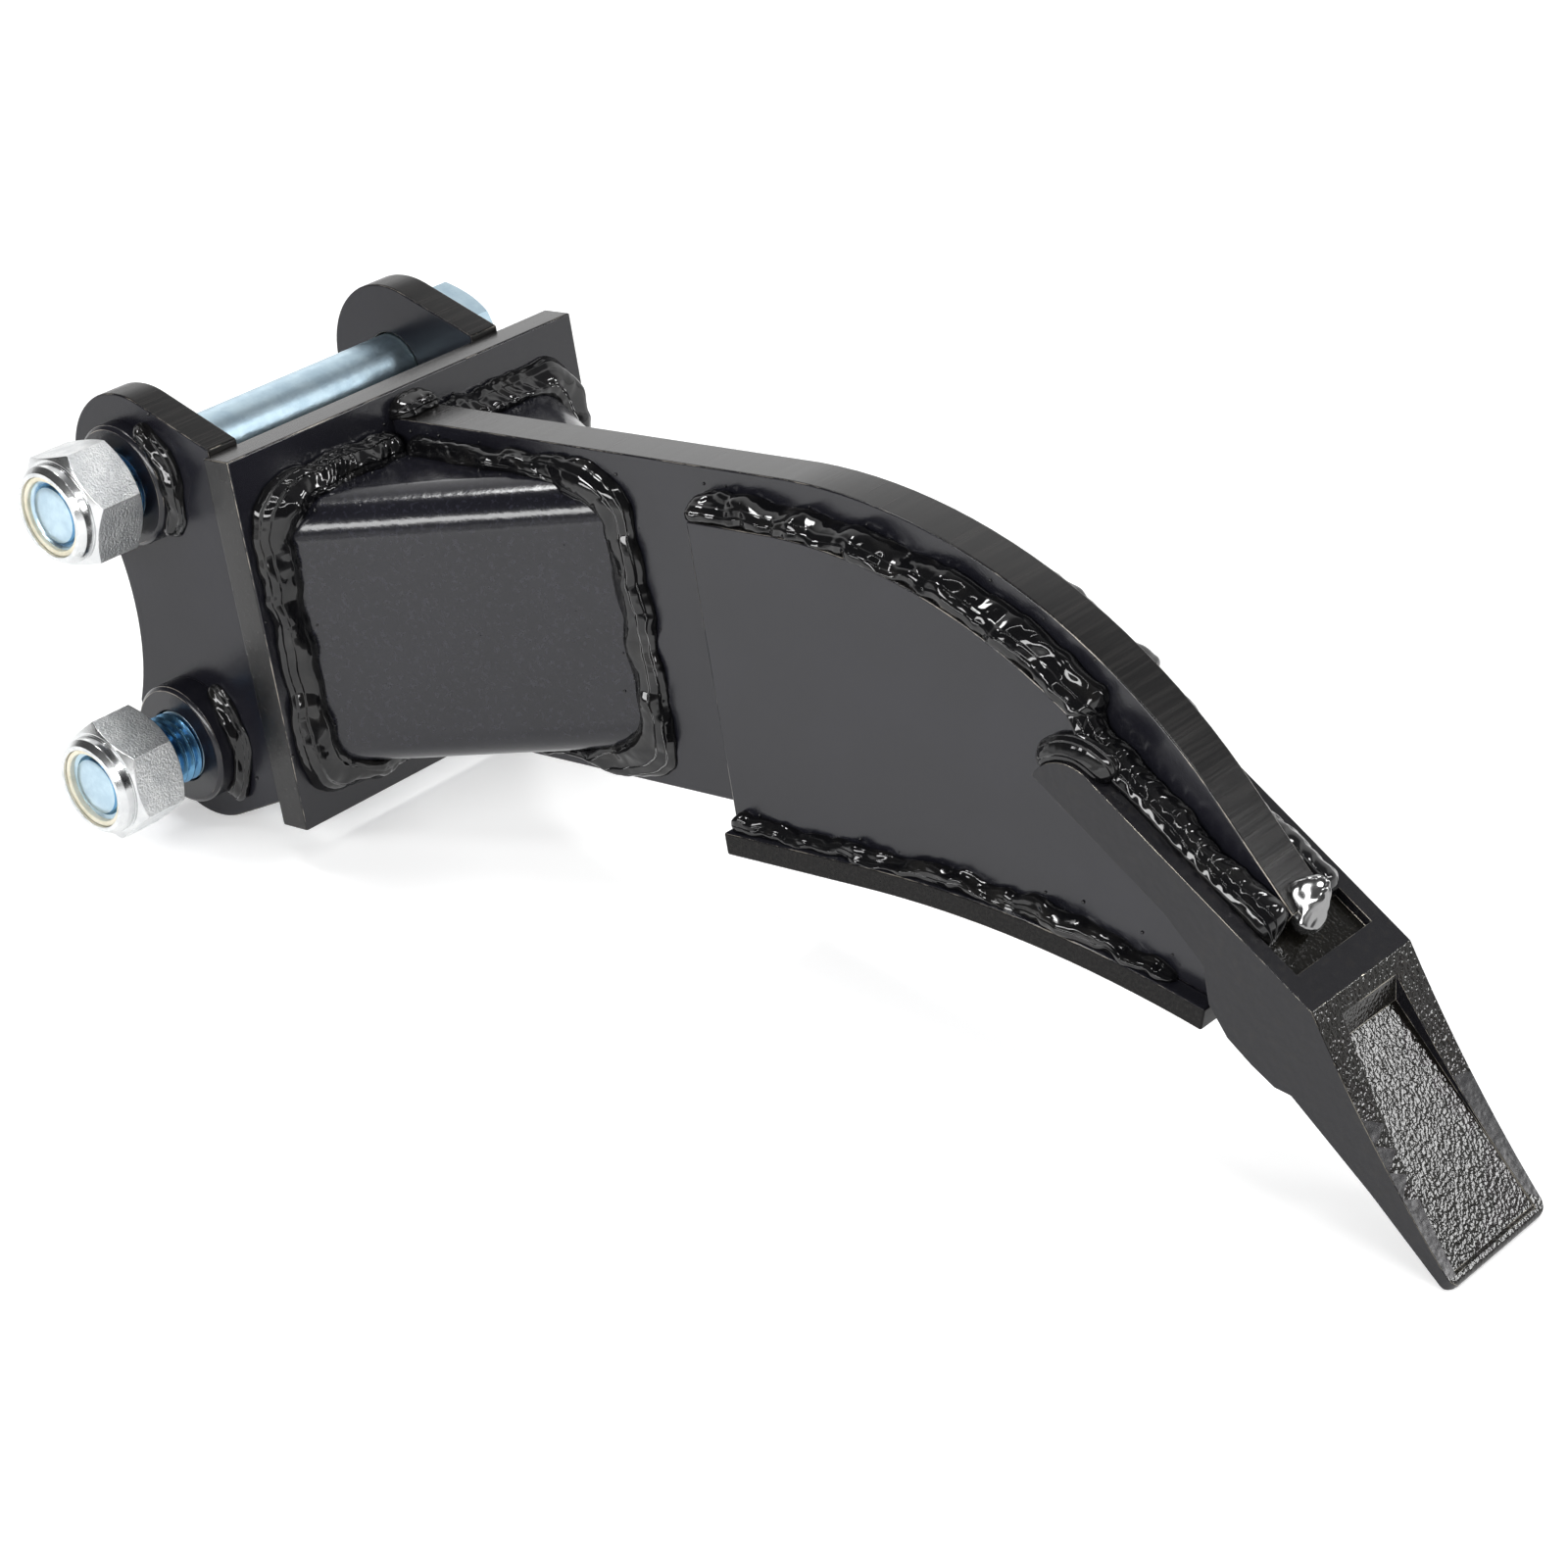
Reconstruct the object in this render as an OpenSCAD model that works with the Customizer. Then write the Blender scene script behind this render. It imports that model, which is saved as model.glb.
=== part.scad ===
// Ripper shank tooth for a small excavator: a forked cast tooth on a welded shank with a two-ear pin-on head.
// Head frame: X leaves the front face of the head plate toward the tooth, Y runs along the pins,
// Z runs up the head plate. The finished part is leaned until the ears and the tooth tip share the floor.

/* [Head plate] */
// Width of the head plate along the pins, mm
head_width = 152; // [146:1:180]
// Height of the head plate, mm
head_height = 127; // [122:1:140]
// Thickness of the head plate, mm
head_thickness = 12; // [10:1:16]

/* [Ears] */
// Clear gap between the two ears, mm
ear_gap = 103; // [80:1:108]
// Thickness of one ear, mm
ear_thickness = 12; // [8:1:14]
// How far the ear on the nut side is set in from the edge of the head plate, mm
ear_margin = 2.5; // [1:0.5:6]
// Radius of the ear around each pin, mm
ear_radius = 29.5; // [26:0.5:32]
// Upper pin behind the back face of the head plate, mm
upper_pin_back = 42.5; // [40:0.5:48]
// Upper pin above the middle of the head plate, mm
upper_pin_up = 50; // [44:0.5:54]
// Lower pin behind the back face of the head plate, mm
lower_pin_back = 37; // [34:0.5:42]
// Lower pin below the middle of the head plate, mm
lower_pin_down = 38.5; // [34:0.5:42]
// Slope of the ear's upper and lower edges toward the head plate, degrees
ear_slope = 21; // [14:1:26]
// Radius of the hollow between the two pins, mm
waist_radius = 80; // [70:1:100]
// Deepest point of the hollow behind the back face of the head plate, mm
waist_back = 58; // [50:1:62]

/* [Bosses and bolts] */
// Outer diameter of the boss around each pin hole, mm
boss_diameter = 41; // [38:0.5:44]
// Thickness of each upper boss, mm
upper_boss = 6; // [5:0.5:10]
// Thickness of each lower boss, mm
lower_boss = 10; // [5:0.5:12]
// Diameter of each hitch bolt, mm
bolt_diameter = 24; // [20:1:26]
// Play between a bolt and its hole, on the diameter, mm
hole_play = 1; // [0.6:0.1:2]
// Width across flats of the bolt heads and nuts, mm
wrench_size = 36; // [34:1:38]
// Height of a bolt head, mm
bolt_head_height = 15; // [12:0.5:18]
// Height of a lock nut with its collar, mm
nut_height = 24; // [22:0.5:28]
// Height of the hexagon of a lock nut, mm
nut_hex_height = 19; // [16:0.5:20]
// Depth of each bolt's end below the rim of its nut, mm
bolt_end_depth = 1.5; // [1:0.25:2.5]
// Distance of the upper nut from its boss, mm
upper_standoff = 5; // [0:0.5:10]
// Distance of the lower nut from its boss, mm
lower_standoff = 13; // [10:0.5:20]
// Turn of the upper nut about its bolt, degrees
upper_nut_turn = 68; // [0:1:120]
// Turn of the lower nut about its bolt, degrees
lower_nut_turn = 92; // [0:1:120]

/* [Shank] */
// Thickness of the shank, mm
shank_thickness = 16; // [12:1:20]
// Straight upper edge above the middle of the head plate, mm
shank_top = 55; // [52:0.5:58]
// Straight lower edge below the middle of the head plate, mm
shank_bottom = 57.5; // [56:0.5:60]
// Start of the bend in the upper edge, mm from the head plate
bend_start = 169; // [165:1:175]
// Radius of the bend in the upper edge, mm
bend_radius = 188; // [182:1:194]
// Angle through which the upper edge bends, degrees
bend_angle = 54; // [52:1:56]

/* [Cheeks and sole] */
// Thickness of one cheek plate, mm
cheek_thickness = 10; // [8:1:12]
// Rear edge of the cheeks, mm from the head plate
cheek_start = 139; // [134:1:150]
// Upper edge of the cheeks below the upper edge of the shank, mm
cheek_drop = 14; // [12:1:16]
// How far the cheeks reach below the straight lower edge of the shank, mm
cheek_reach = 2; // [1:0.5:3]
// Thickness of the sole bar, mm
sole_thickness = 7.5; // [6:0.5:9]
// Start of the bend in the sole bar, mm from the head plate
sole_bend_start = 195; // [185:1:205]
// Radius of the lower face of the bent sole bar, mm
sole_radius = 410; // [390:5:430]

/* [Gussets] */
// Reach of each gusset along the shank, mm
gusset_reach = 100; // [88:1:108]
// Foot of each gusset on the head plate, mm from the middle
gusset_foot = 65; // [58:1:67]
// Upper face of each gusset above the middle of the head plate, mm
gusset_top = 45; // [42:0.5:45.5]
// Lower face of each gusset below the middle of the head plate, mm
gusset_bottom = 48.5; // [44:0.5:49]
// Wall of each gusset, mm
gusset_wall = 5; // [4:0.5:6]
// Outer radius of the bends of each gusset, mm
gusset_bend = 14; // [11:1:18]

/* [Tooth] */
// Slope of the upper face of the tooth below the shank line, degrees
tooth_slope = 39.5; // [38:0.5:41]
// Rear upper corner of the tooth legs, mm from the head plate
tooth_x = 290; // [288:1:294]
// Rear upper corner of the tooth legs below the middle of the head plate, mm
tooth_down = 15; // [13:0.5:17]
// Width of the tooth, mm
tooth_width = 48; // [47:0.5:50]
// Depth of the tooth body square to its upper face, mm
tooth_depth = 29; // [28:0.5:31]
// Width of each leg of the fork, mm
leg_height = 15; // [13:0.5:17]
// Length from the leg corner to the seat of the shank, mm
seat_run = 64; // [62:0.5:66]
// Length from the leg corner to the front of the pocket, mm
pocket_run = 77; // [75:0.5:79]
// Depth of the pocket floor in front of the shank, mm
pocket_depth = 3; // [2:0.5:4]
// Length from the leg corner to the shoulder, mm
shoulder_run = 93; // [91:0.5:96]
// Length from the leg corner to the cutting edge, mm
tip_run = 164; // [156:1:172]
// Drop of the cutting edge below the upper face, mm
tip_drop = 34; // [33:0.5:36]
// Radius of the hollow front face, mm
front_radius = 450; // [400:10:600]
// Half width of the scoop at its upper end, mm
scoop_top_half = 12.7; // [10:0.1:15]
// Half width of the scoop at the cutting edge, mm
scoop_tip_half = 21; // [18:0.5:22]
// Depth of the scoop at its upper end, mm
scoop_depth = 6; // [3:0.5:7]
// Radius of the cutting edge, mm
edge_radius = 2; // [1.5:0.25:2.5]

/* [Welds] */
// Leg of the weld run around the foot of each gusset, mm
foot_weld = 5; // [4:0.5:6]
// Leg of the weld run around the end of each gusset, mm
end_weld = 6.5; // [5:0.5:6.5]
// Leg of the weld run across the upper edge of the shank, mm
head_weld = 7; // [5:0.5:8]
// Leg of the weld runs around the bosses, mm
boss_weld = 5; // [4:0.5:5]
// Leg of the weld runs on the sole bar, mm
sole_weld = 5; // [4:0.5:5.5]
// Height of the weld runs on the cheeks, mm
cheek_weld = 8; // [6:0.5:9]
// Crown of the weld runs between the legs and the shank, mm
fork_weld = 4; // [2:0.5:5]

/* [Hidden] */
$fa = 4;
$fs = 0.6;
seat = 0.3;
blend = 0.05;
far = 400;
shank_half = shank_thickness / 2;
cheek_half = shank_half + cheek_thickness;
tooth_half = tooth_width / 2;
head_back = -head_thickness;
upper_pin = [head_back - upper_pin_back, upper_pin_up];
lower_pin = [head_back - lower_pin_back, -lower_pin_down];
hole_diameter = bolt_diameter + hole_play;
ear_right_outer = ear_margin - head_width / 2;
ear_right_inner = ear_right_outer + ear_thickness;
ear_left_inner = ear_right_inner + ear_gap;
ear_left_outer = ear_left_inner + ear_thickness;
boss_chamfer = 1.2;
upper_head_face = ear_left_outer + upper_boss;
lower_head_face = ear_left_outer + lower_boss;
upper_nut_face = ear_right_outer - upper_boss - upper_standoff;
lower_nut_face = ear_right_outer - lower_boss - lower_standoff;
bolt_chamfer = 1.4;
upper_head_turn = 35;
lower_head_turn = 20;
hex_radius = wrench_size / sqrt(3);
thread_bore = bolt_diameter - 2 * seat;
hex_chamfer = 0.6;
collar_step = 1.5;
collar_root = 2;
collar_chamfer = 1.6;
collar_wall = 3;
collar_radius = wrench_size / 2 - collar_step;
insert_radius = collar_radius - collar_wall;
insert_height = 5;
rim_height = 1;
bend_centre = [bend_start, shank_top - bend_radius];
sole_top = -shank_bottom - cheek_reach;
sole_centre = [sole_bend_start, sole_top - sole_thickness - sole_radius];
sole_top_radius = sole_radius + sole_thickness;
tooth_origin = [tooth_x, -tooth_down];
gusset_angle = atan2(gusset_foot - shank_half, gusset_reach);
foot_rise = 0.85 * foot_weld;
end_rise = 0.6 * end_weld;
fork_start = -14;
fork_floor = 6;
run_gap = 0.2;
fork_point = tooth_point([fork_start, 0]) - bend_centre;
cheek_run_angle = atan2(fork_point[0], fork_point[1]);
sole_run_angle = 15.5;
sole_end_angle = 17.5;
leg_nose = 14;
leg_setback = 2;
leg_taper = 26;
leg_root = 8;
heel_run = 74;
heel_length = 19;
heel_depth = tooth_depth + 2.5;
belly_run = 32;
belly_drop = 3.5;
edge_front = 19;
edge_under = 10;
lip_run = 3;
lip_drop = 4.5;
corner_radius = 4;
scoop_run = shoulder_run - 2;
scoop_lead = 6;
nose_drop = [seat_run + 1, 2.5, 2];
nose_radius = 6.5;
tip_centre = [tip_run, -tip_drop - edge_radius];
tip_point = tooth_point(tip_centre);
lean_a = tip_point[0] - lower_pin[0];
lean_b = lower_pin[1] - tip_point[1];
lean = acos((ear_radius - edge_radius) / norm([lean_a, lean_b])) - atan2(lean_a, lean_b);
floor_drop = leaned(lower_pin)[1] - ear_radius;
x_low = leaned(upper_pin)[0] - ear_radius;
x_high = leaned(tip_point)[0] + edge_radius;
y_low = lower_nut_face - nut_height;
y_high = max(upper_head_face + bolt_head_height, lower_head_face + bolt_head_height, head_width / 2);

// A point of the tooth, given along and square to its upper face, in the head frame.
function tooth_point(p) = tooth_origin + p[0] * [cos(tooth_slope), -sin(tooth_slope)]
    + p[1] * [sin(tooth_slope), cos(tooth_slope)];

// A side-view point of the head frame after the part is leaned onto the floor.
function leaned(p) = [p[0] * cos(lean) - p[1] * sin(lean), p[0] * sin(lean) + p[1] * cos(lean)];

// Puts the head frame on the floor with the row's origin under the middle of the part.
module rest() {
    translate([-(x_low + x_high) / 2, -(y_low + y_high) / 2, -floor_drop])
        rotate([0, -lean, 0])
            children();
}

// A plate cut from a side-view outline, from y0 to y1.
module slab(y0, y1) {
    translate([0, y1, 0])
        rotate([90, 0, 0])
            linear_extrude(y1 - y0)
                children();
}

// A side-view outline given in the tooth's own directions.
module at_tooth() {
    translate(tooth_origin)
        rotate(-tooth_slope)
            children();
}

// A solid given in the tooth's own directions: X along its upper face, Z square to it.
module on_tooth() {
    translate([tooth_origin[0], 0, tooth_origin[1]])
        rotate([0, tooth_slope, 0])
            children();
}

// The same solid on both sides of the shank; side is -1 for the nut side.
module sided(side) {
    if (side > 0)
        mirror([0, 1, 0])
            children();
    else
        children();
}

// Section of a convex weld run in the corner of two faces.
module bead(leg_a, leg_b) {
    polygon([[-seat, -seat], [leg_a, -seat], [leg_a, 0], [leg_a * 0.8, leg_b * 0.42],
        [leg_a * 0.42, leg_b * 0.8], [0, leg_b], [-seat, leg_b]]);
}

module painted() {
    color([0.07, 0.07, 0.08])
        children();
}

module head_plate() {
    painted()
        rest()
            translate([head_back, -head_width / 2, -head_height / 2])
                cube([head_thickness, head_width, head_height]);
}

module ear_outline() {
    top_touch = upper_pin + ear_radius * [sin(ear_slope), cos(ear_slope)];
    low_touch = lower_pin + ear_radius * [sin(ear_slope), -cos(ear_slope)];
    top_front = top_touch[1] - (head_back - top_touch[0]) * tan(ear_slope);
    low_front = low_touch[1] + (head_back - low_touch[0]) * tan(ear_slope);
    difference() {
        union() {
            translate(upper_pin)
                circle(ear_radius);
            translate(lower_pin)
                circle(ear_radius);
            polygon([[head_back, top_front], top_touch, upper_pin, upper_pin - [ear_radius, 0],
                lower_pin - [ear_radius, 0], lower_pin, low_touch, [head_back, low_front]]);
        }
        translate([head_back - waist_back - waist_radius, (upper_pin_up - lower_pin_down) / 2])
            circle(waist_radius);
        translate(upper_pin)
            circle(d = hole_diameter);
        translate(lower_pin)
            circle(d = hole_diameter);
    }
}

module ear_right() {
    painted()
        rest()
            slab(ear_right_outer, ear_right_inner)
                ear_outline();
}

module ear_left() {
    painted()
        rest()
            slab(ear_left_inner, ear_left_outer)
                ear_outline();
}

// A ring around a pin hole, standing on the ear face at y; out is -1 on the nut side.
module boss(pin, y, thickness, out) {
    painted()
        rest()
            translate([pin[0], y, pin[1]])
                rotate([out < 0 ? 90 : -90, 0, 0])
                    rotate_extrude()
                        polygon([[hole_diameter / 2, 0], [boss_diameter / 2, 0],
                            [boss_diameter / 2, thickness - boss_chamfer],
                            [boss_diameter / 2 - boss_chamfer, thickness], [hole_diameter / 2, thickness]]);
}

module boss_upper_right() {
    boss(upper_pin, ear_right_outer, upper_boss, -1);
}

module boss_upper_left() {
    boss(upper_pin, ear_left_outer, upper_boss, 1);
}

module boss_lower_right() {
    boss(lower_pin, ear_right_outer, lower_boss, -1);
}

module boss_lower_left() {
    boss(lower_pin, ear_left_outer, lower_boss, 1);
}

// A hexagon with turned corners, standing on Z = 0; the lower corners are turned only when asked.
module hexagon(height, both) {
    cone = 2 * height;
    flat = wrench_size / 2 - hex_chamfer;
    intersection() {
        cylinder(r = hex_radius, h = height, $fn = 6);
        translate([0, 0, height - cone])
            cylinder(r1 = flat + cone * 1.7, r2 = flat, h = cone);
        if (both)
            cylinder(r1 = flat, r2 = flat + cone * 1.7, h = cone);
    }
}

// Places a bolt-like solid: its Z = 0 plane at y, its Z axis pointing toward the nuts.
module on_pin(pin, y, turn) {
    translate([pin[0], y, pin[1]])
        rotate([90, 0, 0])
            rotate(turn)
                children();
}

// A hitch bolt whose head bears on the face at head_y and whose shaft ends just inside the nut at nut_y.
module bolt(pin, head_y, nut_y, turn) {
    shaft = head_y - nut_y + nut_height - bolt_end_depth;
    color([0.55, 0.66, 0.75])
        rest()
            on_pin(pin, head_y, turn) {
                cylinder(d = bolt_diameter, h = shaft - bolt_chamfer);
                translate([0, 0, shaft - bolt_chamfer])
                    cylinder(d1 = bolt_diameter, d2 = bolt_diameter - 2 * bolt_chamfer, h = bolt_chamfer);
                mirror([0, 0, 1])
                    hexagon(bolt_head_height, false);
            }
}

module bolt_upper() {
    bolt(upper_pin, upper_head_face, upper_nut_face, upper_head_turn);
}

module bolt_lower() {
    bolt(lower_pin, lower_head_face, lower_nut_face, lower_head_turn);
}

module nut(pin, face_y, turn) {
    color([0.78, 0.79, 0.8])
        rest()
            on_pin(pin, face_y, turn)
                difference() {
                    union() {
                        hexagon(nut_hex_height, true);
                        translate([0, 0, nut_hex_height - collar_root])
                            cylinder(r = collar_radius, h = nut_height - nut_hex_height);
                        translate([0, 0, nut_height - collar_root])
                            cylinder(r1 = collar_radius, r2 = collar_radius - collar_chamfer, h = collar_root);
                    }
                    translate([0, 0, -1])
                        cylinder(d = thread_bore, h = nut_height + 2);
                    translate([0, 0, nut_height - rim_height - insert_height])
                        cylinder(r = insert_radius, h = insert_height + rim_height + 1);
                }
}

module nut_upper() {
    nut(upper_pin, upper_nut_face, upper_nut_turn);
}

module nut_lower() {
    nut(lower_pin, lower_nut_face, lower_nut_turn);
}

module insert(pin, face_y) {
    color([0.9, 0.87, 0.78])
        rest()
            on_pin(pin, face_y, 0)
                translate([0, 0, nut_height - rim_height - insert_height])
                    difference() {
                        cylinder(r = insert_radius, h = insert_height);
                        translate([0, 0, -1])
                            cylinder(d = thread_bore, h = insert_height + 2);
                    }
}

module insert_upper() {
    insert(upper_pin, upper_nut_face);
}

module insert_lower() {
    insert(lower_pin, lower_nut_face);
}

// Everything under the bent upper edge, moved down square to that edge by drop, from x0 on.
module under_bend(x0, drop) {
    radius = bend_radius - drop;
    radial = [sin(bend_angle), cos(bend_angle)];
    tail = bend_centre + radius * radial + 80 * [cos(bend_angle), -sin(bend_angle)];
    difference() {
        polygon([[x0, -far], [x0, shank_top - drop], bend_centre + radius * [tan(bend_angle / 2), 1],
            tail, [tail[0], -far]]);
        translate(bend_centre)
            difference() {
                polygon([[0, 0], [0, far], [far, far], far * radial]);
                circle(radius + blend);
            }
    }
}

// Everything below a straight line that bends down in front, as the sole bar does.
module under_sole(line, radius, x0) {
    translate([x0, line - far])
        square([sole_bend_start - x0, far]);
    intersection() {
        translate(sole_centre)
            circle(radius);
        translate([sole_bend_start, line - far])
            square([far, 2 * far]);
    }
}

// Everything in front of the seat in the fork.
module ahead_of_seat() {
    at_tooth()
        translate([seat_run, -far / 2])
            square([far, far]);
}

module shank_outline() {
    difference() {
        under_bend(0, 0);
        under_sole(-shank_bottom, sole_top_radius + cheek_reach, -1);
        ahead_of_seat();
        at_tooth()
            translate([seat_run - 30, -far])
                square([60, far - pocket_depth - tooth_depth + 1]);
    }
}

module shank() {
    painted()
        rest()
            slab(-shank_half, shank_half)
                shank_outline();
}

module cheek_outline() {
    difference() {
        under_bend(cheek_start, cheek_drop);
        under_sole(sole_top, sole_top_radius, cheek_start - 1);
        ahead_of_seat();
        at_tooth()
            translate([fork_start, -fork_floor])
                square([far, far]);
    }
}

module cheek(side) {
    painted()
        rest()
            sided(side)
                slab(-cheek_half, -shank_half)
                    cheek_outline();
}

module cheek_right() {
    cheek(-1);
}

module cheek_left() {
    cheek(1);
}

module sole_outline() {
    difference() {
        under_sole(sole_top, sole_top_radius, cheek_start);
        under_sole(sole_top - sole_thickness, sole_radius, cheek_start - 1);
        sole_end();
    }
}

// Everything in front of the square end of the sole bar.
module sole_end() {
    translate(sole_centre)
        rotate(-sole_end_angle)
            translate([0, -far])
                square([far, 3 * far]);
}

module sole_bar() {
    painted()
        rest()
            slab(-tooth_half, tooth_half)
                sole_outline();
}

// Extrudes a section along the slant from the head plate to the shank.
module along_gusset() {
    length = norm([gusset_reach, gusset_foot - shank_half]) + 40;
    translate([0, -gusset_foot, 0])
        rotate([0, 0, gusset_angle])
            translate([-20, 0, 0])
                rotate([90, 0, 90])
                    linear_extrude(length)
                        children();
}

// A right-side gusset: half of a square tube with bent corners, cut slantwise to fit the corner.
module gusset_body() {
    intersection() {
        along_gusset()
            difference() {
                gusset_section(0);
                gusset_section(gusset_wall);
            }
        translate([0, 0, -far / 2])
            linear_extrude(far)
                polygon([[0, -shank_half], [0, -gusset_foot - 30], [gusset_reach + 60, -shank_half]]);
    }
}

// Rounded section of the tube, inset by its wall when asked; the open side is far inside.
module gusset_section(inset) {
    radius = gusset_bend - inset;
    high = gusset_top - inset;
    low = inset - gusset_bottom;
    translate([inset + radius, low])
        square([far / 3, high - low]);
    translate([inset, low + radius])
        square([radius + 1, high - low - 2 * radius]);
    translate([inset + radius, high - radius])
        circle(radius);
    translate([inset + radius, low + radius])
        circle(radius);
}

module gusset(side) {
    painted()
        rest()
            sided(side)
                gusset_body();
}

module gusset_right() {
    gusset(-1);
}

module gusset_left() {
    gusset(1);
}

// Side view of the tooth casting between the rounded ends: legs, shoulder, hollow front and heel.
module tooth_outline() {
    front_side = [sin(edge_front), cos(edge_front)];
    under_side = [-sin(edge_under), -cos(edge_under)];
    chord_a = [shoulder_run + lip_run, -lip_drop];
    chord_b = tip_centre + (edge_radius - blend) * front_side;
    chord = chord_b - chord_a;
    along = chord / norm(chord);
    up = [-along[1], along[0]];
    hollow = sqrt(pow(front_radius, 2) - pow(norm(chord) / 2, 2));
    heel_front = heel_run + heel_length;
    difference() {
        polygon([[-leg_setback, 0], [shoulder_run, 0], chord_a + 0.4 * up, chord_b,
            tip_centre + (edge_radius - blend) * under_side, [tip_run - belly_run, -tooth_depth - belly_drop],
            [heel_front + 5, -tooth_depth + 0.5], [heel_front, -heel_depth + 0.5],
            [heel_front - 9, -heel_depth], [heel_run, -heel_depth + 0.5], [seat_run, -tooth_depth + 2],
            [seat_run - leg_root, -leg_height - 3], [seat_run - leg_taper, -leg_height],
            [-leg_setback, -leg_height]]);
        translate((chord_a + chord_b) / 2 + hollow * up)
            circle(front_radius);
    }
}

// The rounded rear end of the legs.
module leg_end() {
    intersection() {
        translate([-leg_setback, blend - leg_nose])
            circle(leg_nose);
        translate([-leg_setback - far, -leg_height])
            square([far + 3, far]);
    }
}

// Space between the legs for the shank and its cheeks, and the shallow pocket in front of them.
module fork_space() {
    slab(-cheek_half, cheek_half)
        at_tooth() {
            translate([-far, -far / 2])
                square([far + seat_run, far]);
            translate([seat_run - 1, -pocket_depth])
                square([pocket_run - seat_run + 1, far / 4]);
        }
}

// The tapering scoop between the front ribs.
module scoop_space() {
    floor_top = [scoop_run + scoop_lead, -scoop_depth - lip_drop + 0.5];
    intersection() {
        slab(-tooth_half, tooth_half)
            at_tooth()
                polygon([[scoop_run, 0.1], floor_top, [tip_run - 1.5, -tip_drop], [tip_run + 6, -tip_drop + 2],
                    [tip_run + 6, 40], [scoop_run, 40]]);
        on_tooth()
            translate([0, 0, -far / 2])
                linear_extrude(far)
                    polygon([[scoop_run - 1, -scoop_top_half], [tip_run + 8, -scoop_tip_half],
                        [tip_run + 8, scoop_tip_half], [scoop_run - 1, scoop_top_half]]);
    }
}

// Space outside the rounded corner of the cutting edge on one side of the tooth.
module corner_space(side) {
    inset = corner_radius - 0.05;
    centre = [tip_run + edge_radius - inset, side * (tooth_half - inset)];
    on_tooth()
        translate([0, 0, -tip_drop - 20])
            linear_extrude(40)
                difference() {
                    translate([centre[0], side > 0 ? centre[1] : centre[1] - 10])
                        square(10);
                    translate(centre)
                        circle(corner_radius);
                }
}

module tooth() {
    painted()
        rest()
            difference() {
                union() {
                    slab(-tooth_half, tooth_half)
                        difference() {
                            at_tooth()
                                tooth_outline();
                            difference() {
                                under_sole(sole_top, sole_top_radius, cheek_start);
                                sole_end();
                            }
                        }
                    slab(-tooth_half, tooth_half)
                        at_tooth()
                            leg_end();
                    slab(-tooth_half, tooth_half)
                        at_tooth()
                            translate(tip_centre)
                                circle(edge_radius);
                }
                fork_space();
                scoop_space();
                corner_space(-1);
                corner_space(1);
            }
}

// A weld run around the plate side of a boss; out is -1 on the nut side.
module boss_bead(pin, face_y, out, a0, a1) {
    painted()
        rest()
            translate([pin[0], face_y, pin[1]])
                rotate([out < 0 ? 90 : -90, 0, 0])
                    rotate(out < 0 ? a0 : -a1)
                        rotate_extrude(angle = a1 - a0)
                            translate([boss_diameter / 2, 0])
                                bead(boss_weld, boss_weld);
}

module weld_boss_upper_right() {
    boss_bead(upper_pin, ear_right_outer, -1, -50, 65);
}

module weld_boss_upper_left() {
    boss_bead(upper_pin, ear_left_outer, 1, -50, 65);
}

module weld_boss_lower_right() {
    boss_bead(lower_pin, ear_right_outer, -1, -60, 60);
}

module weld_boss_lower_left() {
    boss_bead(lower_pin, ear_left_outer, 1, -60, 60);
}

// The run across the upper edge of the shank, against the head plate.
module weld_head() {
    painted()
        rest()
            slab(-shank_half, shank_half)
                translate([0, shank_top])
                    bead(head_weld, head_weld);
}

// Section of a run that wraps a gusset: X outward along the face it stands on, Y off that face.
module wrap_section(leg, rise) {
    inner = 1 - gusset_bend;
    polygon([[inner, -seat], [leg, -seat], [leg, 0.1 * rise], [0.72 * leg, 0.55 * rise],
        [0.25 * leg, 0.85 * rise], [-0.5 * leg, rise], [inner, rise]]);
}

// A run over the upper edge, the end and the lower edge of a gusset, drawn on the face it stands on:
// X along that face from start to reach, Y up, Z off the face.
module wrap_run(start, reach, leg, rise) {
    turn = reach - gusset_bend;
    high = gusset_top - gusset_bend;
    low = gusset_bend - gusset_bottom;
    translate([start, gusset_top, 0])
        rotate([90, 0, 90])
            linear_extrude(turn - start)
                wrap_section(leg, rise);
    translate([turn, high, 0])
        rotate_extrude(angle = 90)
            translate([gusset_bend, 0])
                wrap_section(leg, rise);
    translate([reach, high, 0])
        rotate([90, 0, 0])
            linear_extrude(high - low)
                wrap_section(leg, rise);
    translate([turn, low, 0])
        rotate(-90)
            rotate_extrude(angle = 90)
                translate([gusset_bend, 0])
                    wrap_section(leg, rise);
    translate([start, -gusset_bottom, 0])
        mirror([0, 1, 0])
            rotate([90, 0, 90])
                linear_extrude(turn - start)
                    wrap_section(leg, rise);
}

// The run that holds the foot of a gusset to the head plate.
module gusset_head_bead() {
    difference() {
        rotate([90, 0, -90])
            mirror([0, 0, 1])
                wrap_run(shank_half - seat, gusset_foot, foot_weld, foot_rise);
        along_gusset()
            gusset_section(seat);
    }
}

// The run that holds the end of a gusset to the shank.
module gusset_shank_bead() {
    difference() {
        translate([0, -shank_half, 0])
            rotate([90, 0, 0])
                wrap_run(foot_rise - seat, gusset_reach, end_weld, end_rise);
        along_gusset()
            gusset_section(seat);
    }
}

module weld_gusset_head_right() {
    painted()
        rest()
            gusset_head_bead();
}

module weld_gusset_head_left() {
    painted()
        rest()
            sided(1)
                gusset_head_bead();
}

module weld_gusset_shank_right() {
    painted()
        rest()
            gusset_shank_bead();
}

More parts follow.
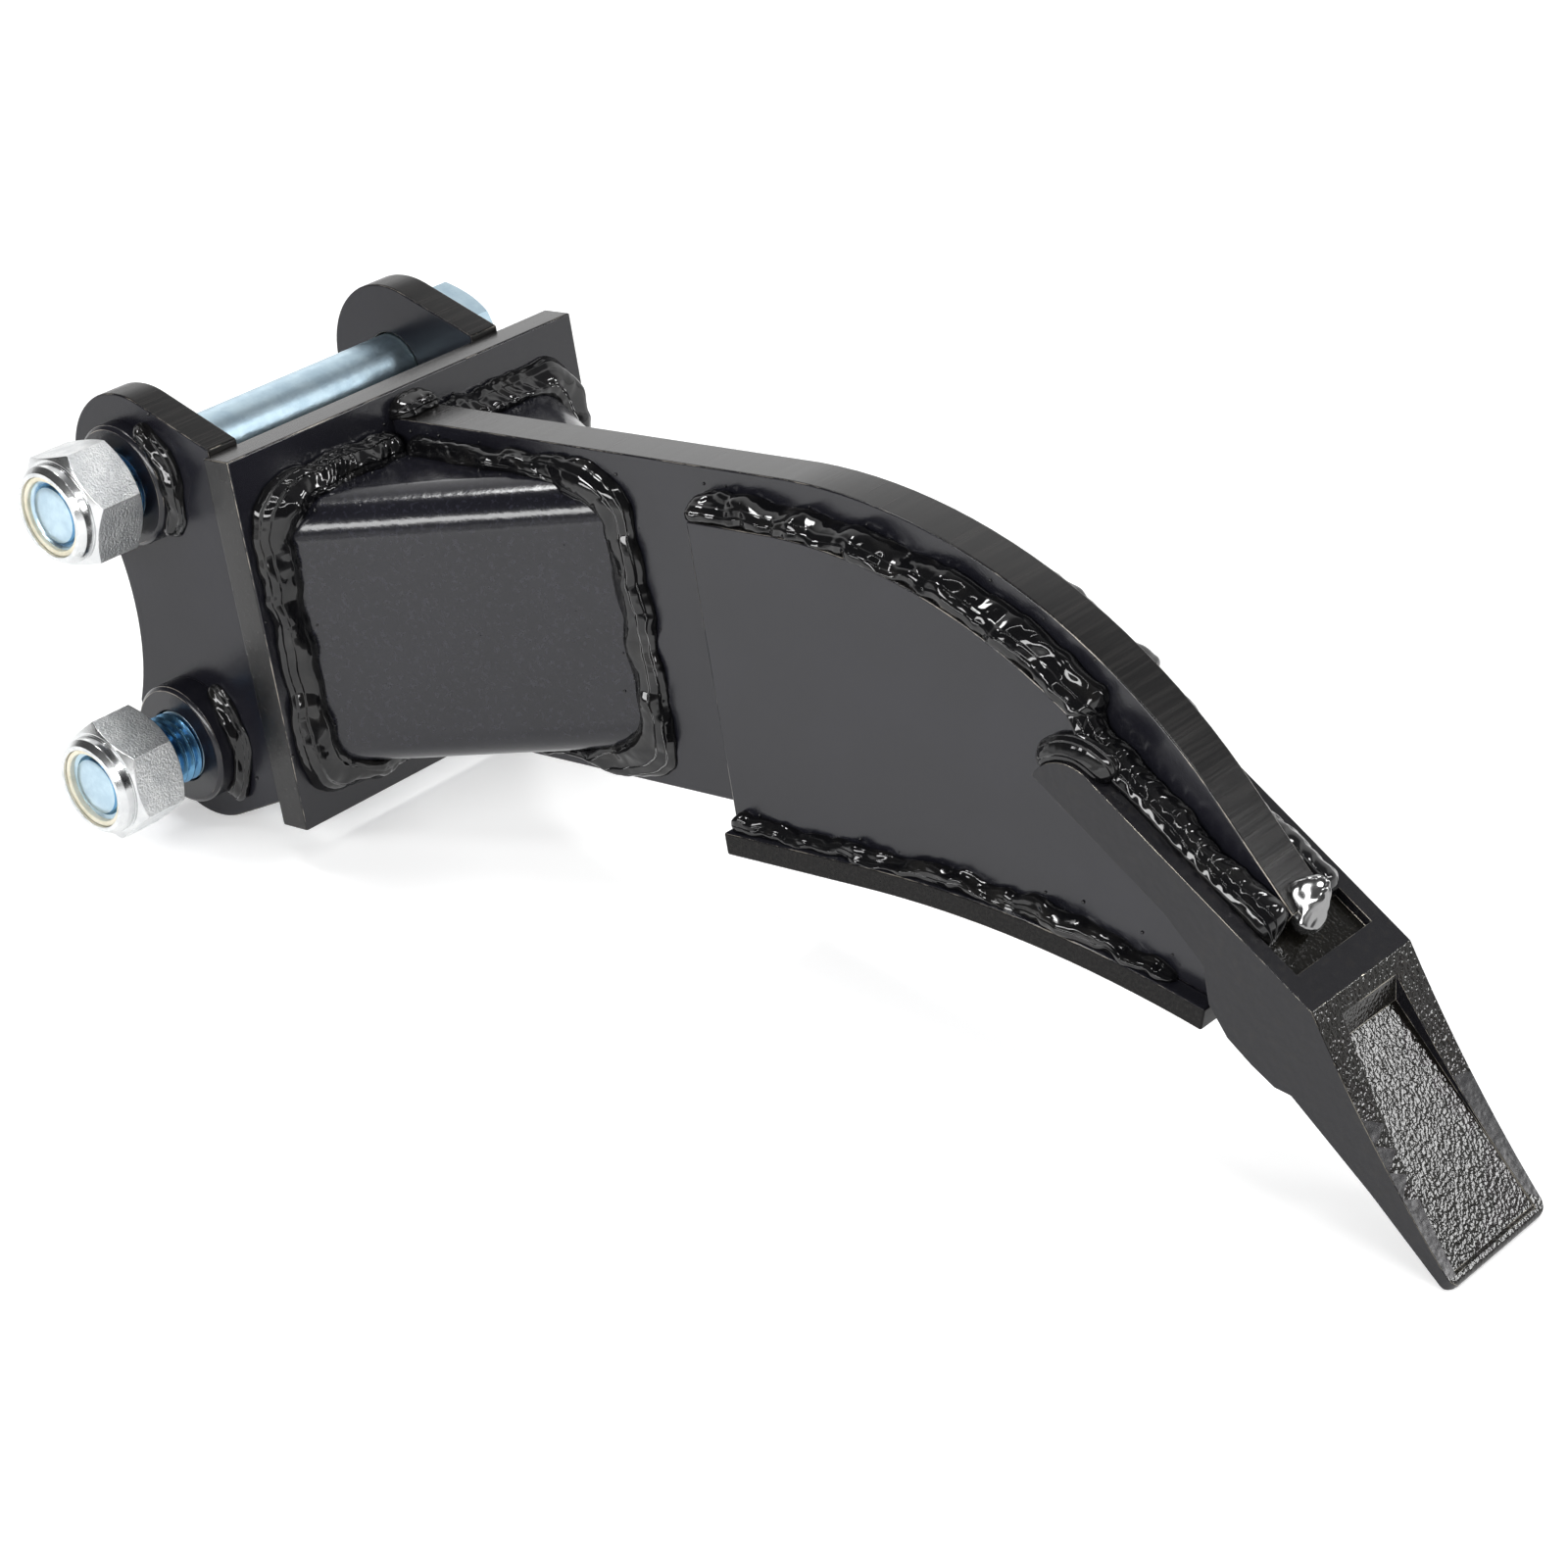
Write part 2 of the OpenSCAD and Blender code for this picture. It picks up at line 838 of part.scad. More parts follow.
module weld_gusset_shank_left() {
    painted()
        rest()
            sided(1)
                gusset_shank_bead();
}

// Section of the run on the upper edge of a cheek: across the ledge and up the side of the shank.
module cheek_bead_section() {
    polygon([[-seat, -seat], [cheek_thickness - 0.4, -seat], [cheek_thickness - 0.4, 0.6],
        [cheek_thickness * 0.7, cheek_weld * 0.55], [cheek_thickness * 0.3, cheek_weld * 0.9],
        [0, cheek_weld], [-seat, cheek_weld]]);
}

// The runs on the upper edge of a cheek: a straight one, then one around the bend to the legs.
module cheek_bead() {
    edge = shank_top - cheek_drop;
    translate([cheek_start, -shank_half, edge])
        rotate([0, 0, 180])
            rotate([90, 0, 90])
                mirror([0, 0, 1])
                    linear_extrude(bend_start - cheek_start - run_gap)
                        cheek_bead_section();
    translate([bend_centre[0], 0, bend_centre[1]])
        rotate([90, 0, 0])
            rotate(90 - cheek_run_angle)
                rotate_extrude(angle = cheek_run_angle)
                    translate([bend_radius - cheek_drop, shank_half])
                        rotate(90)
                            mirror([0, 1])
                                cheek_bead_section();
}

module weld_cheek_right() {
    painted()
        rest()
            cheek_bead();
}

module weld_cheek_left() {
    painted()
        rest()
            sided(1)
                cheek_bead();
}

// The runs along a cheek on the sole bar: a straight one, then one around the bend to the legs.
module sole_bead() {
    translate([cheek_start, -cheek_half, sole_top])
        rotate([0, 0, 180])
            rotate([90, 0, 90])
                mirror([0, 0, 1])
                    linear_extrude(sole_bend_start - cheek_start - run_gap)
                        bead(sole_weld, sole_weld);
    translate([sole_centre[0], 0, sole_centre[1]])
        rotate([90, 0, 0])
            rotate(90 - sole_run_angle)
                rotate_extrude(angle = sole_run_angle)
                    translate([sole_top_radius, cheek_half])
                        rotate(90)
                            mirror([0, 1])
                                bead(sole_weld, sole_weld);
}

module weld_sole_right() {
    painted()
        rest()
            sole_bead();
}

module weld_sole_left() {
    painted()
        rest()
            sided(1)
                sole_bead();
}

// The heavy run that fills the groove between a leg and the side of the shank.
module fork_bead() {
    on_tooth()
        translate([fork_start, 0, 0])
            rotate([90, 0, 90])
                linear_extrude(seat_run - fork_start)
                    polygon([[-cheek_half - seat, -fork_floor - seat], [-shank_half + seat, -fork_floor - seat],
                        [-shank_half + seat, fork_weld], [-shank_half - 3, fork_weld * 0.95],
                        [-cheek_half + 2, 1.6], [-cheek_half - seat, 0]]);
}

module weld_fork_right() {
    painted()
        rest()
            fork_bead();
}

module weld_fork_left() {
    painted()
        rest()
            sided(1)
                fork_bead();
}

// The drop of weld metal in front of the nose of the shank, on the pocket floor.
module weld_nose() {
    painted()
        rest()
            on_tooth()
                difference() {
                    translate(nose_drop)
                        sphere(nose_radius);
                    translate([seat_run - 20 - seat, -20, -20])
                        cube([20, 40, 60]);
                    translate([seat_run - 20, -20, -20 - pocket_depth - seat])
                        cube([60, 40, 20]);
                }
}

head_plate();
ear_right();
ear_left();
boss_upper_right();
boss_upper_left();
boss_lower_right();
boss_lower_left();
bolt_upper();
bolt_lower();
nut_upper();
nut_lower();
insert_upper();
insert_lower();
shank();
cheek_right();
cheek_left();
sole_bar();
gusset_right();
gusset_left();
tooth();
weld_boss_upper_right();
weld_boss_upper_left();
weld_boss_lower_right();
weld_boss_lower_left();
weld_head();
weld_gusset_head_right();
weld_gusset_head_left();
weld_gusset_shank_right();
weld_gusset_shank_left();
weld_cheek_right();
weld_cheek_left();
weld_sole_right();
weld_sole_left();
weld_fork_right();
weld_fork_left();
weld_nose();
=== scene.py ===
"""Dressed model of a ripper shank tooth: a forked cast tooth on a welded shank with a two-ear hitch head."""

import logging
import math
from dataclasses import dataclass, field
from enum import Enum
from functools import cache
from typing import Iterable, Sequence

import bmesh
import bpy
from mathutils import Matrix, Vector, noise


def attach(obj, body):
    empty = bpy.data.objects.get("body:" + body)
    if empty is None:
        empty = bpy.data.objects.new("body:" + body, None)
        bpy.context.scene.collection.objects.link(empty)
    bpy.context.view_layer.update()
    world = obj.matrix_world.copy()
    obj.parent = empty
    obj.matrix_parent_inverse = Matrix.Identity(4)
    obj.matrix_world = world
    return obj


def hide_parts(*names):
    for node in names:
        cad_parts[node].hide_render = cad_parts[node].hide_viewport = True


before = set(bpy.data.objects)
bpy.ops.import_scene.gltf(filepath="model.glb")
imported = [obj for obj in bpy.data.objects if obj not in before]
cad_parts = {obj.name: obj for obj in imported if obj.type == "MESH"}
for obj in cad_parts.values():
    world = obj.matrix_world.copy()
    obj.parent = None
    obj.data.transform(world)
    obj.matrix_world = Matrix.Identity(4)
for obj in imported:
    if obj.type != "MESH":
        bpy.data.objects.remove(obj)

LOG = logging.getLogger("ripper")
MM = 0.001
MERGE_DISTANCE = 2e-6
FLAT_ANGLE = math.radians(0.4)
FLAT_WEIGHT = 60
# Edge-mask value on the rims of a rounding: real chips, which also paint lighter lines as edge highlights.
RIM_WEAR_AND_SHEEN = 0.45
CHIP_AND_SHEEN_METAL = 0.7
UPPER_PIN = (-54.5, 50.0)
LOWER_PIN = (-49.0, -38.5)

Colour = tuple[float, float, float]
Triple = tuple[float, float, float]
Pair = tuple[float, float]


class Slot(Enum):
    """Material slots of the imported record."""

    PLATE = "plate_black"
    CAST = "cast_black"
    WELD = "weld_black"
    BOLT = "bolt_zinc"
    NUT = "nut_steel"
    INSERT = "insert_nylon"


class Side(Enum):
    """The two sides of the shank; the nuts are on the right."""

    RIGHT = -1
    LEFT = 1


@dataclass(frozen=True)
class HeadFrame:
    """The head plate's own directions in millimetres, and how they lie in the row frame."""

    lean: float = 10.3251
    shift: Triple = (-161.779, 21.0, 76.1589)

    def matrix(self) -> Matrix:
        """Matrix from head millimetres to row metres."""
        turn = Matrix.Rotation(math.radians(-self.lean), 4, "Y")
        return Matrix.Scale(MM, 4) @ Matrix.Translation(self.shift) @ turn


@dataclass(frozen=True)
class ToothFrame:
    """The tooth's own directions: s along its upper face, n square to it, in head millimetres."""

    slope: float = 39.5
    origin: Pair = (290.0, -15.0)

    def point(self, s: float, y: float, n: float) -> Vector:
        """A point of the tooth in head millimetres.

        Args:
            s: distance along the upper face.
            y: distance along the hitch bolts.
            n: height off the upper face.

        Returns:
            The point in the head frame.
        """
        angle = math.radians(self.slope)
        x = self.origin[0] + s * math.cos(angle) + n * math.sin(angle)
        return Vector((x, y, self.origin[1] - s * math.sin(angle) + n * math.cos(angle)))

    def direction(self, s: float, n: float) -> Vector:
        """A direction of the tooth in the head frame."""
        return self.point(s, 0.0, n) - self.point(0.0, 0.0, 0.0)


HEAD = HeadFrame()
TOOTH = ToothFrame()


class Graph:
    """Adds nodes and links to one shader node tree."""

    def __init__(self, tree: bpy.types.NodeTree) -> None:
        """Keeps the tree that is being filled."""
        self.tree = tree

    def add(self, kind: str, inputs: dict | None = None, **settings: object) -> bpy.types.Node:
        """Adds one node.

        Args:
            kind: Blender's name for the node type, without its Shader prefix.
            inputs: values or sockets for the node's inputs, by name or place.
            settings: properties of the node itself.

        Returns:
            The new node.
        """
        node = self.tree.nodes.new("ShaderNode" + kind)
        for name, value in settings.items():
            setattr(node, name, value)
        for key, value in (inputs or {}).items():
            if isinstance(value, bpy.types.NodeSocket):
                self.tree.links.new(value, node.inputs[key])
            else:
                node.inputs[key].default_value = value
        return node

    def place(self) -> bpy.types.NodeSocket:
        """The object's own coordinates."""
        return self.add("TexCoord").outputs["Object"]

    def noise(self, place: bpy.types.NodeSocket, scale: object, detail: float,
              roughness: float = 0.5) -> bpy.types.NodeSocket:
        """The value of a noise texture.

        Args:
            place: socket of the coordinates.
            scale: number or socket for the fineness of the noise.
            detail: number of finer layers.
            roughness: strength of the finer layers.

        Returns:
            The socket of the value.
        """
        inputs = {"Vector": place, "Scale": scale, "Detail": detail, "Roughness": roughness}
        return self.add("TexNoise", inputs).outputs[0]

    def math(self, operation: str, first: object, second: object = 0.0) -> bpy.types.NodeSocket:
        """The result of a Math node on two values or sockets."""
        return self.add("Math", {0: first, 1: second}, operation=operation).outputs[0]

    def ramp(self, value: bpy.types.NodeSocket, low: float, high: float) -> bpy.types.NodeSocket:
        """A value stretched smoothly to 0 at low and 1 at high."""
        inputs = {"Value": value, "From Min": low, "From Max": high}
        return self.add("MapRange", inputs, interpolation_type="SMOOTHSTEP").outputs[0]

    def mix(self, mask: bpy.types.NodeSocket, first: object, second: object) -> bpy.types.NodeSocket:
        """Two colours mixed by a mask.

        Args:
            mask: socket that is 0 for the first colour and 1 for the second.
            first: colour or socket.
            second: colour or socket.

        Returns:
            The socket of the mixed colour.
        """
        first, second = (tuple(c) + (1.0,) if isinstance(c, tuple) else c for c in (first, second))
        return self.add("Mix", {0: mask, 6: first, 7: second}, data_type="RGBA").outputs[2]

    def blend(self, mask: bpy.types.NodeSocket, first: object, second: object) -> bpy.types.NodeSocket:
        """Two values mixed by a mask."""
        return self.add("Mix", {0: mask, 2: first, 3: second}, data_type="FLOAT").outputs[0]


class Effects:
    """The effects that several finishes share, each a node group that is made once."""

    @staticmethod
    def _new(name: str, inputs: dict[str, float],
             outputs: Sequence[str]) -> tuple[Graph, dict[str, bpy.types.NodeSocket], bpy.types.Node]:
        """Starts a node group.

        Args:
            name: name of the group.
            inputs: names and usual values of its inputs.
            outputs: names of its outputs.

        Returns:
            The graph to fill, the input sockets by name and the output node.
        """
        tree = bpy.data.node_groups.new(name, "ShaderNodeTree")
        for label, value in inputs.items():
            socket = tree.interface.new_socket(name=label, in_out="INPUT", socket_type="NodeSocketFloat")
            socket.default_value = value
        for label in outputs:
            tree.interface.new_socket(name=label, in_out="OUTPUT", socket_type="NodeSocketFloat")
        start = tree.nodes.new("NodeGroupInput")
        given = {socket.name: socket for socket in start.outputs if socket.name}
        return Graph(tree), given, tree.nodes.new("NodeGroupOutput")

    @staticmethod
    @cache
    def edge_wear_and_sheen() -> bpy.types.NodeTree:
        """Group whose mask is 1 where the paint is chipped off an edge; the chips are set wide enough to also
        paint thin lighter lines that stand for edge highlights.

        Returns:
            The node group.
        """
        graph, given, end = Effects._new("edge_wear_and_sheen", {"Edge": 0.0, "Amount": 0.5, "Scale": 220.0}, ["Worn"])
        place = graph.place()
        broad = graph.noise(place, 38.0, 2.0)
        fine = graph.noise(place, given["Scale"], 5.0, 0.7)
        patch = graph.math("ADD", graph.math("MULTIPLY", broad, 0.9), graph.math("MULTIPLY", fine, 0.6))
        level = graph.math("ADD", patch, graph.math("MULTIPLY", given["Amount"], 0.5))
        kept = graph.ramp(graph.math("MULTIPLY", level, given["Edge"]), 0.80, 0.92)
        graph.tree.links.new(kept, end.inputs["Worn"])
        return graph.tree

    @staticmethod
    @cache
    def orange_peel() -> bpy.types.NodeTree:
        """Group whose height is the skin of sprayed gloss paint with a few pits.

        Returns:
            The node group.
        """
        graph, given, end = Effects._new("orange_peel", {"Scale": 500.0, "Pits": 0.4}, ["Height"])
        place = graph.place()
        skin = graph.noise(place, given["Scale"], 2.0)
        wave = graph.noise(place, 60.0, 1.0)
        cells = graph.add("TexVoronoi", {"Vector": place, "Scale": 260.0, "Randomness": 1.0})
        pit = graph.math("SUBTRACT", 1.0, graph.ramp(cells.outputs["Distance"], 0.03, 0.16))
        chosen = graph.ramp(graph.add("SeparateColor", {0: cells.outputs["Color"]}).outputs[0], 0.86, 0.9)
        sunk = graph.math("MULTIPLY", graph.math("MULTIPLY", pit, chosen), given["Pits"])
        total = graph.math("SUBTRACT", graph.math("ADD", graph.math("MULTIPLY", skin, 0.5), wave), sunk)
        graph.tree.links.new(total, end.inputs["Height"])
        return graph.tree

    @staticmethod
    @cache
    def cut_lines() -> bpy.types.NodeTree:
        """Group whose height and streaks are the fine lines that cutting and grinding leave across an edge.

        Returns:
            The node group.
        """
        graph, given, end = Effects._new("cut_lines", {"Along": 900.0, "Across": 30.0}, ["Height", "Streak"])
        place = graph.add("SeparateXYZ", {0: graph.place()}).outputs
        run = graph.math("MULTIPLY", place["X"], given["Along"])
        wide = graph.math("MULTIPLY", place["Y"], given["Across"])
        tall = graph.math("MULTIPLY", place["Z"], given["Along"])
        spot = graph.add("CombineXYZ", {0: run, 1: wide, 2: tall}).outputs[0]
        lines = graph.noise(spot, 1.0, 3.0, 0.6)
        graph.tree.links.new(lines, end.inputs["Height"])
        graph.tree.links.new(graph.ramp(lines, 0.42, 0.66), end.inputs["Streak"])
        return graph.tree

    @staticmethod
    @cache
    def cast_grain() -> bpy.types.NodeTree:
        """Group whose height is the skin of a painted sand casting, and whose speck marks its bare high spots.

        Returns:
            The node group.
        """
        graph, given, end = Effects._new("cast_grain", {"Scale": 500.0, "Coarse": 0.5}, ["Height", "Speck"])
        place = graph.place()
        sand = graph.noise(place, given["Scale"], 1.0)
        lumps = graph.add("TexVoronoi", {"Vector": place, "Scale": graph.math("MULTIPLY", given["Scale"], 0.8)},
                          feature="SMOOTH_F1").outputs["Distance"]
        swell = graph.noise(place, 80.0, 2.0)
        rough = graph.math("ADD", sand, graph.math("MULTIPLY", lumps, given["Coarse"]))
        graph.tree.links.new(graph.math("ADD", rough, graph.math("MULTIPLY", swell, 0.8)), end.inputs["Height"])
        graph.tree.links.new(graph.ramp(rough, 0.78, 0.98), end.inputs["Speck"])
        return graph.tree

    @staticmethod
    @cache
    def mottle() -> bpy.types.NodeTree:
        """Group whose cloud and grain vary a plated surface at two sizes.

        Returns:
            The node group.
        """
        graph, given, end = Effects._new("mottle", {"Scale": 300.0}, ["Cloud", "Grain"])
        place = graph.place()
        cloud = graph.noise(place, 130.0, 4.0, 0.65)
        grain = graph.noise(place, given["Scale"], 3.0, 0.6)
        graph.tree.links.new(graph.ramp(cloud, 0.35, 0.65), end.inputs["Cloud"])
        graph.tree.links.new(grain, end.inputs["Grain"])
        return graph.tree


class Finish:
    """Base of the finishes: starts a material and ends it on one shader."""

    def start(self, name: str) -> tuple[bpy.types.Material, Graph]:
        """Makes an empty node material.

        Args:
            name: name of the material.

        Returns:
            The material and a graph on its node tree.
        """
        material = bpy.data.materials.new(name)
        material.use_nodes = True
        material.node_tree.nodes.clear()
        return material, Graph(material.node_tree)

    def close(self, graph: Graph, shader: dict, height: bpy.types.NodeSocket | None, depth: float) -> None:
        """Adds the Principled shader, its bump and the output.

        Args:
            graph: graph of the material.
            shader: values and sockets for the Principled shader.
            height: socket for the bump, if there is one.
            depth: depth of the bump in metres.
        """
        if height is not None:
            shader["Normal"] = graph.add("Bump", {"Height": height, "Distance": depth, "Strength": 1.0}).outputs[0]
        surface = graph.add("BsdfPrincipled", shader)
        graph.add("OutputMaterial", {"Surface": surface.outputs[0]})

    def group(self, graph: Graph, tree: bpy.types.NodeTree, inputs: dict) -> bpy.types.Node:
        """Places one of the shared effects in a material."""
        return graph.add("Group", inputs, node_tree=tree)

    def worn(self, graph: Graph, amount: float, scale: float = 220.0) -> bpy.types.NodeSocket:
        """The mask of the places where the paint is chipped off an edge, which also paints lighter lines as edge
        highlights.

        Args:
            graph: graph of the material.
            amount: how much of the edges is chipped and painted with lighter highlight lines.
            scale: fineness of the chips.

        Returns:
            The socket of the mask.
        """
        edge = graph.add("Attribute", attribute_name="edge").outputs["Fac"]
        inputs = {"Edge": edge, "Amount": amount, "Scale": scale}
        return self.group(graph, Effects.edge_wear_and_sheen(), inputs).outputs["Worn"]


@dataclass(frozen=True)
class GlossPaint(Finish):
    """Sprayed gloss black on flat plate, with chips along the edges that also paint lighter lines as edge
    highlights, and lighter dots painted as glints of light in the orange peel.
    """

    name: str = "gloss_paint"
    colour: Colour = (0.0076, 0.0076, 0.0108)
    bare: Colour = (0.34, 0.31, 0.27)
    roughness: float = 0.22
    peel_scale: float = 420.0
    peel_depth: float = 0.00006
    pits: float = 0.3
    # Real chips along the edges, set high enough that they also paint lighter lines as edge highlights.
    wear: float = 0.28
    # Strength of the painted glints: lighter dots in the colour that stand for light caught in the orange peel.
    glint_speckle: float = 0.1
    gloss: float = 0.5

    def material(self) -> bpy.types.Material:
        """Builds the material.

        Returns:
            The new material.
        """
        made, graph = self.start(self.name)
        worn = self.worn(graph, self.wear)
        peel = self.group(graph, Effects.orange_peel(), {"Scale": self.peel_scale, "Pits": self.pits})
        place = graph.place()
        haze = graph.noise(place, 24.0, 4.0, 0.6)
        # Painted glints: lighter dots that stand for light caught in the orange peel.
        glint_dots = graph.noise(place, self.peel_scale * 1.6, 2.0)
        shade = graph.math("ADD", graph.math("MULTIPLY", graph.ramp(haze, 0.3, 0.75), 0.35),
                           graph.math("MULTIPLY", graph.ramp(glint_dots, 0.52, 0.78), self.glint_speckle))
        tint = graph.mix(shade, self.colour, tuple(c * 2.2 for c in self.colour))
        rough = graph.blend(haze, self.roughness * 0.85, self.roughness * 1.2)
        shader = {
            "Base Color": graph.mix(worn, tint, self.bare),
            "Roughness": graph.blend(worn, rough, 0.42),
            "Metallic": graph.math("MULTIPLY", worn, CHIP_AND_SHEEN_METAL),
            "Specular IOR Level": self.gloss,
        }
        self.close(graph, shader, peel.outputs["Height"], self.peel_depth)
        return made


@dataclass(frozen=True)
class CutEdgePaint(Finish):
    """Thin paint over the cut and ground edges of plate, with fine lines showing through."""

    name: str = "cut_edge_paint"
    colour: Colour = (0.0060, 0.0056, 0.0056)
    bare: Colour = (0.028, 0.026, 0.024)
    chip: Colour = (0.36, 0.33, 0.28)
    roughness: float = 0.24
    along: float = 900.0
    across: float = 25.0
    depth: float = 0.00004
    # Real chips along the edges, set high enough that they also paint lighter lines as edge highlights.
    wear: float = 0.28
    gloss: float = 0.40

    def material(self) -> bpy.types.Material:
        """Builds the material.

        Returns:
            The new material.
        """
        made, graph = self.start(self.name)
        worn = self.worn(graph, self.wear)
        lines = self.group(graph, Effects.cut_lines(), {"Along": self.along, "Across": self.across})
        streak = graph.math("MULTIPLY", lines.outputs["Streak"], 0.35)
        tint = graph.mix(streak, self.colour, self.bare)
        shader = {
            "Base Color": graph.mix(worn, tint, self.chip),
            "Roughness": graph.blend(lines.outputs["Height"], self.roughness * 0.8, self.roughness * 1.3),
            "Metallic": graph.math("MULTIPLY", worn, CHIP_AND_SHEEN_METAL),
            "Specular IOR Level": self.gloss,
        }
        self.close(graph, shader, lines.outputs["Height"], self.depth)
        return made


@dataclass(frozen=True)
class CastPaint(Finish):
    """Gloss black over the sandy skin of a casting."""

    name: str = "cast_paint"
    colour: Colour = (0.0080, 0.0078, 0.0100)
    bare: Colour = (0.26, 0.24, 0.20)
    sand: Colour = (0.060, 0.052, 0.036)
    chip_scale: float = 300.0
    roughness: float = 0.24
    grain: float = 420.0
    coarse: float = 0.5
    depth: float = 0.00010
    # Real chips along the edges, set high enough that they also paint lighter lines as edge highlights.
    wear: float = 0.26
    specks: float = 0.0
    gloss: float = 0.38

    def material(self) -> bpy.types.Material:
        """Builds the material.

        Returns:
            The new material.
        """
        made, graph = self.start(self.name)
        worn = self.worn(graph, self.wear, self.chip_scale)
        skin = self.group(graph, Effects.cast_grain(), {"Scale": self.grain, "Coarse": self.coarse})
        speck = graph.math("MULTIPLY", skin.outputs["Speck"], 0.08 + self.specks)
        tint = graph.mix(speck, self.colour, self.sand)
        shader = {
            "Base Color": graph.mix(worn, tint, self.bare),
            "Roughness": graph.blend(skin.outputs["Height"], self.roughness * 0.75, self.roughness * 1.1),
            "Metallic": graph.math("MULTIPLY", worn, CHIP_AND_SHEEN_METAL),
            "Specular IOR Level": self.gloss,
        }
        self.close(graph, shader, skin.outputs["Height"], self.depth)
        return made


@dataclass(frozen=True)
class WeldPaint(Finish):
    """Wet-looking black over weld metal."""

    name: str = "weld_paint"
    colour: Colour = (0.0040, 0.0040, 0.0046)
    second: Colour = (0.0110, 0.0105, 0.0100)
    metal: float = 0.0
    roughness: float = 0.08
    depth: float = 0.00010

    def material(self) -> bpy.types.Material:
        """Builds the material.

        Returns:
            The new material.
        """
        made, graph = self.start(self.name)
        place = graph.place()
        wave = graph.noise(place, 200.0, 1.0)
        haze = graph.noise(place, 90.0, 2.0)
        shader = {
            "Base Color": graph.mix(graph.ramp(haze, 0.45, 0.75), self.colour, self.second),
            "Roughness": graph.blend(haze, self.roughness * 0.6, self.roughness * 1.5),
            "Metallic": self.metal,
        }
        self.close(graph, shader, wave, self.depth)
        return made


@dataclass(frozen=True)
class ZincPlate(Finish):
    """Plated steel with a mottled, slightly grainy skin."""

    name: str = "zinc_plate"
    colour: Colour = (0.51, 0.65, 0.73)
    second: Colour = (0.35, 0.48, 0.58)
    roughness: float = 0.34
    grain: float = 900.0
    depth: float = 0.00006
    specks: float = 0.0

    def material(self) -> bpy.types.Material:
        """Builds the material.

        Returns:
            The new material.
        """
        made, graph = self.start(self.name)
        skin = self.group(graph, Effects.mottle(), {"Scale": self.grain})
        speck = graph.math("MULTIPLY", graph.ramp(skin.outputs["Grain"], 0.50, 0.64), self.specks)
        cloud = graph.math("MULTIPLY", skin.outputs["Cloud"], 0.6 - 0.4 * self.specks)
        shade = graph.math("MAXIMUM", cloud, speck)
        shader = {
            "Base Color": graph.mix(shade, self.colour, self.second),
            "Roughness": graph.blend(skin.outputs["Grain"], self.roughness * 0.7, self.roughness * 1.35),
            "Metallic": 1.0,
        }
        self.close(graph, shader, skin.outputs["Grain"], self.depth)
        return made


@dataclass(frozen=True)
class Nylon(Finish):
    """Ivory nylon of the locking rings."""

    name: str = "nylon"
    colour: Colour = (0.78, 0.74, 0.60)
    second: Colour = (0.62, 0.58, 0.44)
    roughness: float = 0.42

    def material(self) -> bpy.types.Material:
        """Builds the material.

        Returns:
            The new material.
        """
        made, graph = self.start(self.name)
        skin = self.group(graph, Effects.mottle(), {"Scale": 1500.0})
        shader = {
            "Base Color": graph.mix(skin.outputs["Cloud"], self.colour, self.second),
            "Roughness": graph.blend(skin.outputs["Grain"], self.roughness * 0.9, self.roughness * 1.1),
            "Subsurface Weight": 0.15,
            "Subsurface Radius": (0.002, 0.0015, 0.001),
        }
        self.close(graph, shader, skin.outputs["Grain"], 0.00003)
        return made


@dataclass(frozen=True)
class PaleFloor(Finish):
    """White sweep that keeps the shadow and reads white to the camera, to metal and to glass."""

    name: str = "pale_floor"
    colour: Colour = (0.86, 0.86, 0.86)
    lift: float = 0.42

    def material(self) -> bpy.types.Material:
        """Builds the material.

        Returns:
            The new material.
        """
        made, graph = self.start(self.name)
        path = graph.add("LightPath")
        seen = graph.math("MAXIMUM", path.outputs["Is Camera Ray"], path.outputs["Is Glossy Ray"])
        seen = graph.math("MAXIMUM", seen, path.outputs["Is Transmission Ray"])
        plain = graph.add("BsdfDiffuse", {"Color": self.colour + (1.0,)})
        lifted = graph.math("MULTIPLY", seen, self.lift)
        glow = graph.add("Emission", {"Color": (1.0, 1.0, 1.0, 1.0), "Strength": lifted})
        both = graph.add("AddShader", {0: plain.outputs[0], 1: glow.outputs[0]})
        graph.add("OutputMaterial", {"Surface": both.outputs[0]})
        return made


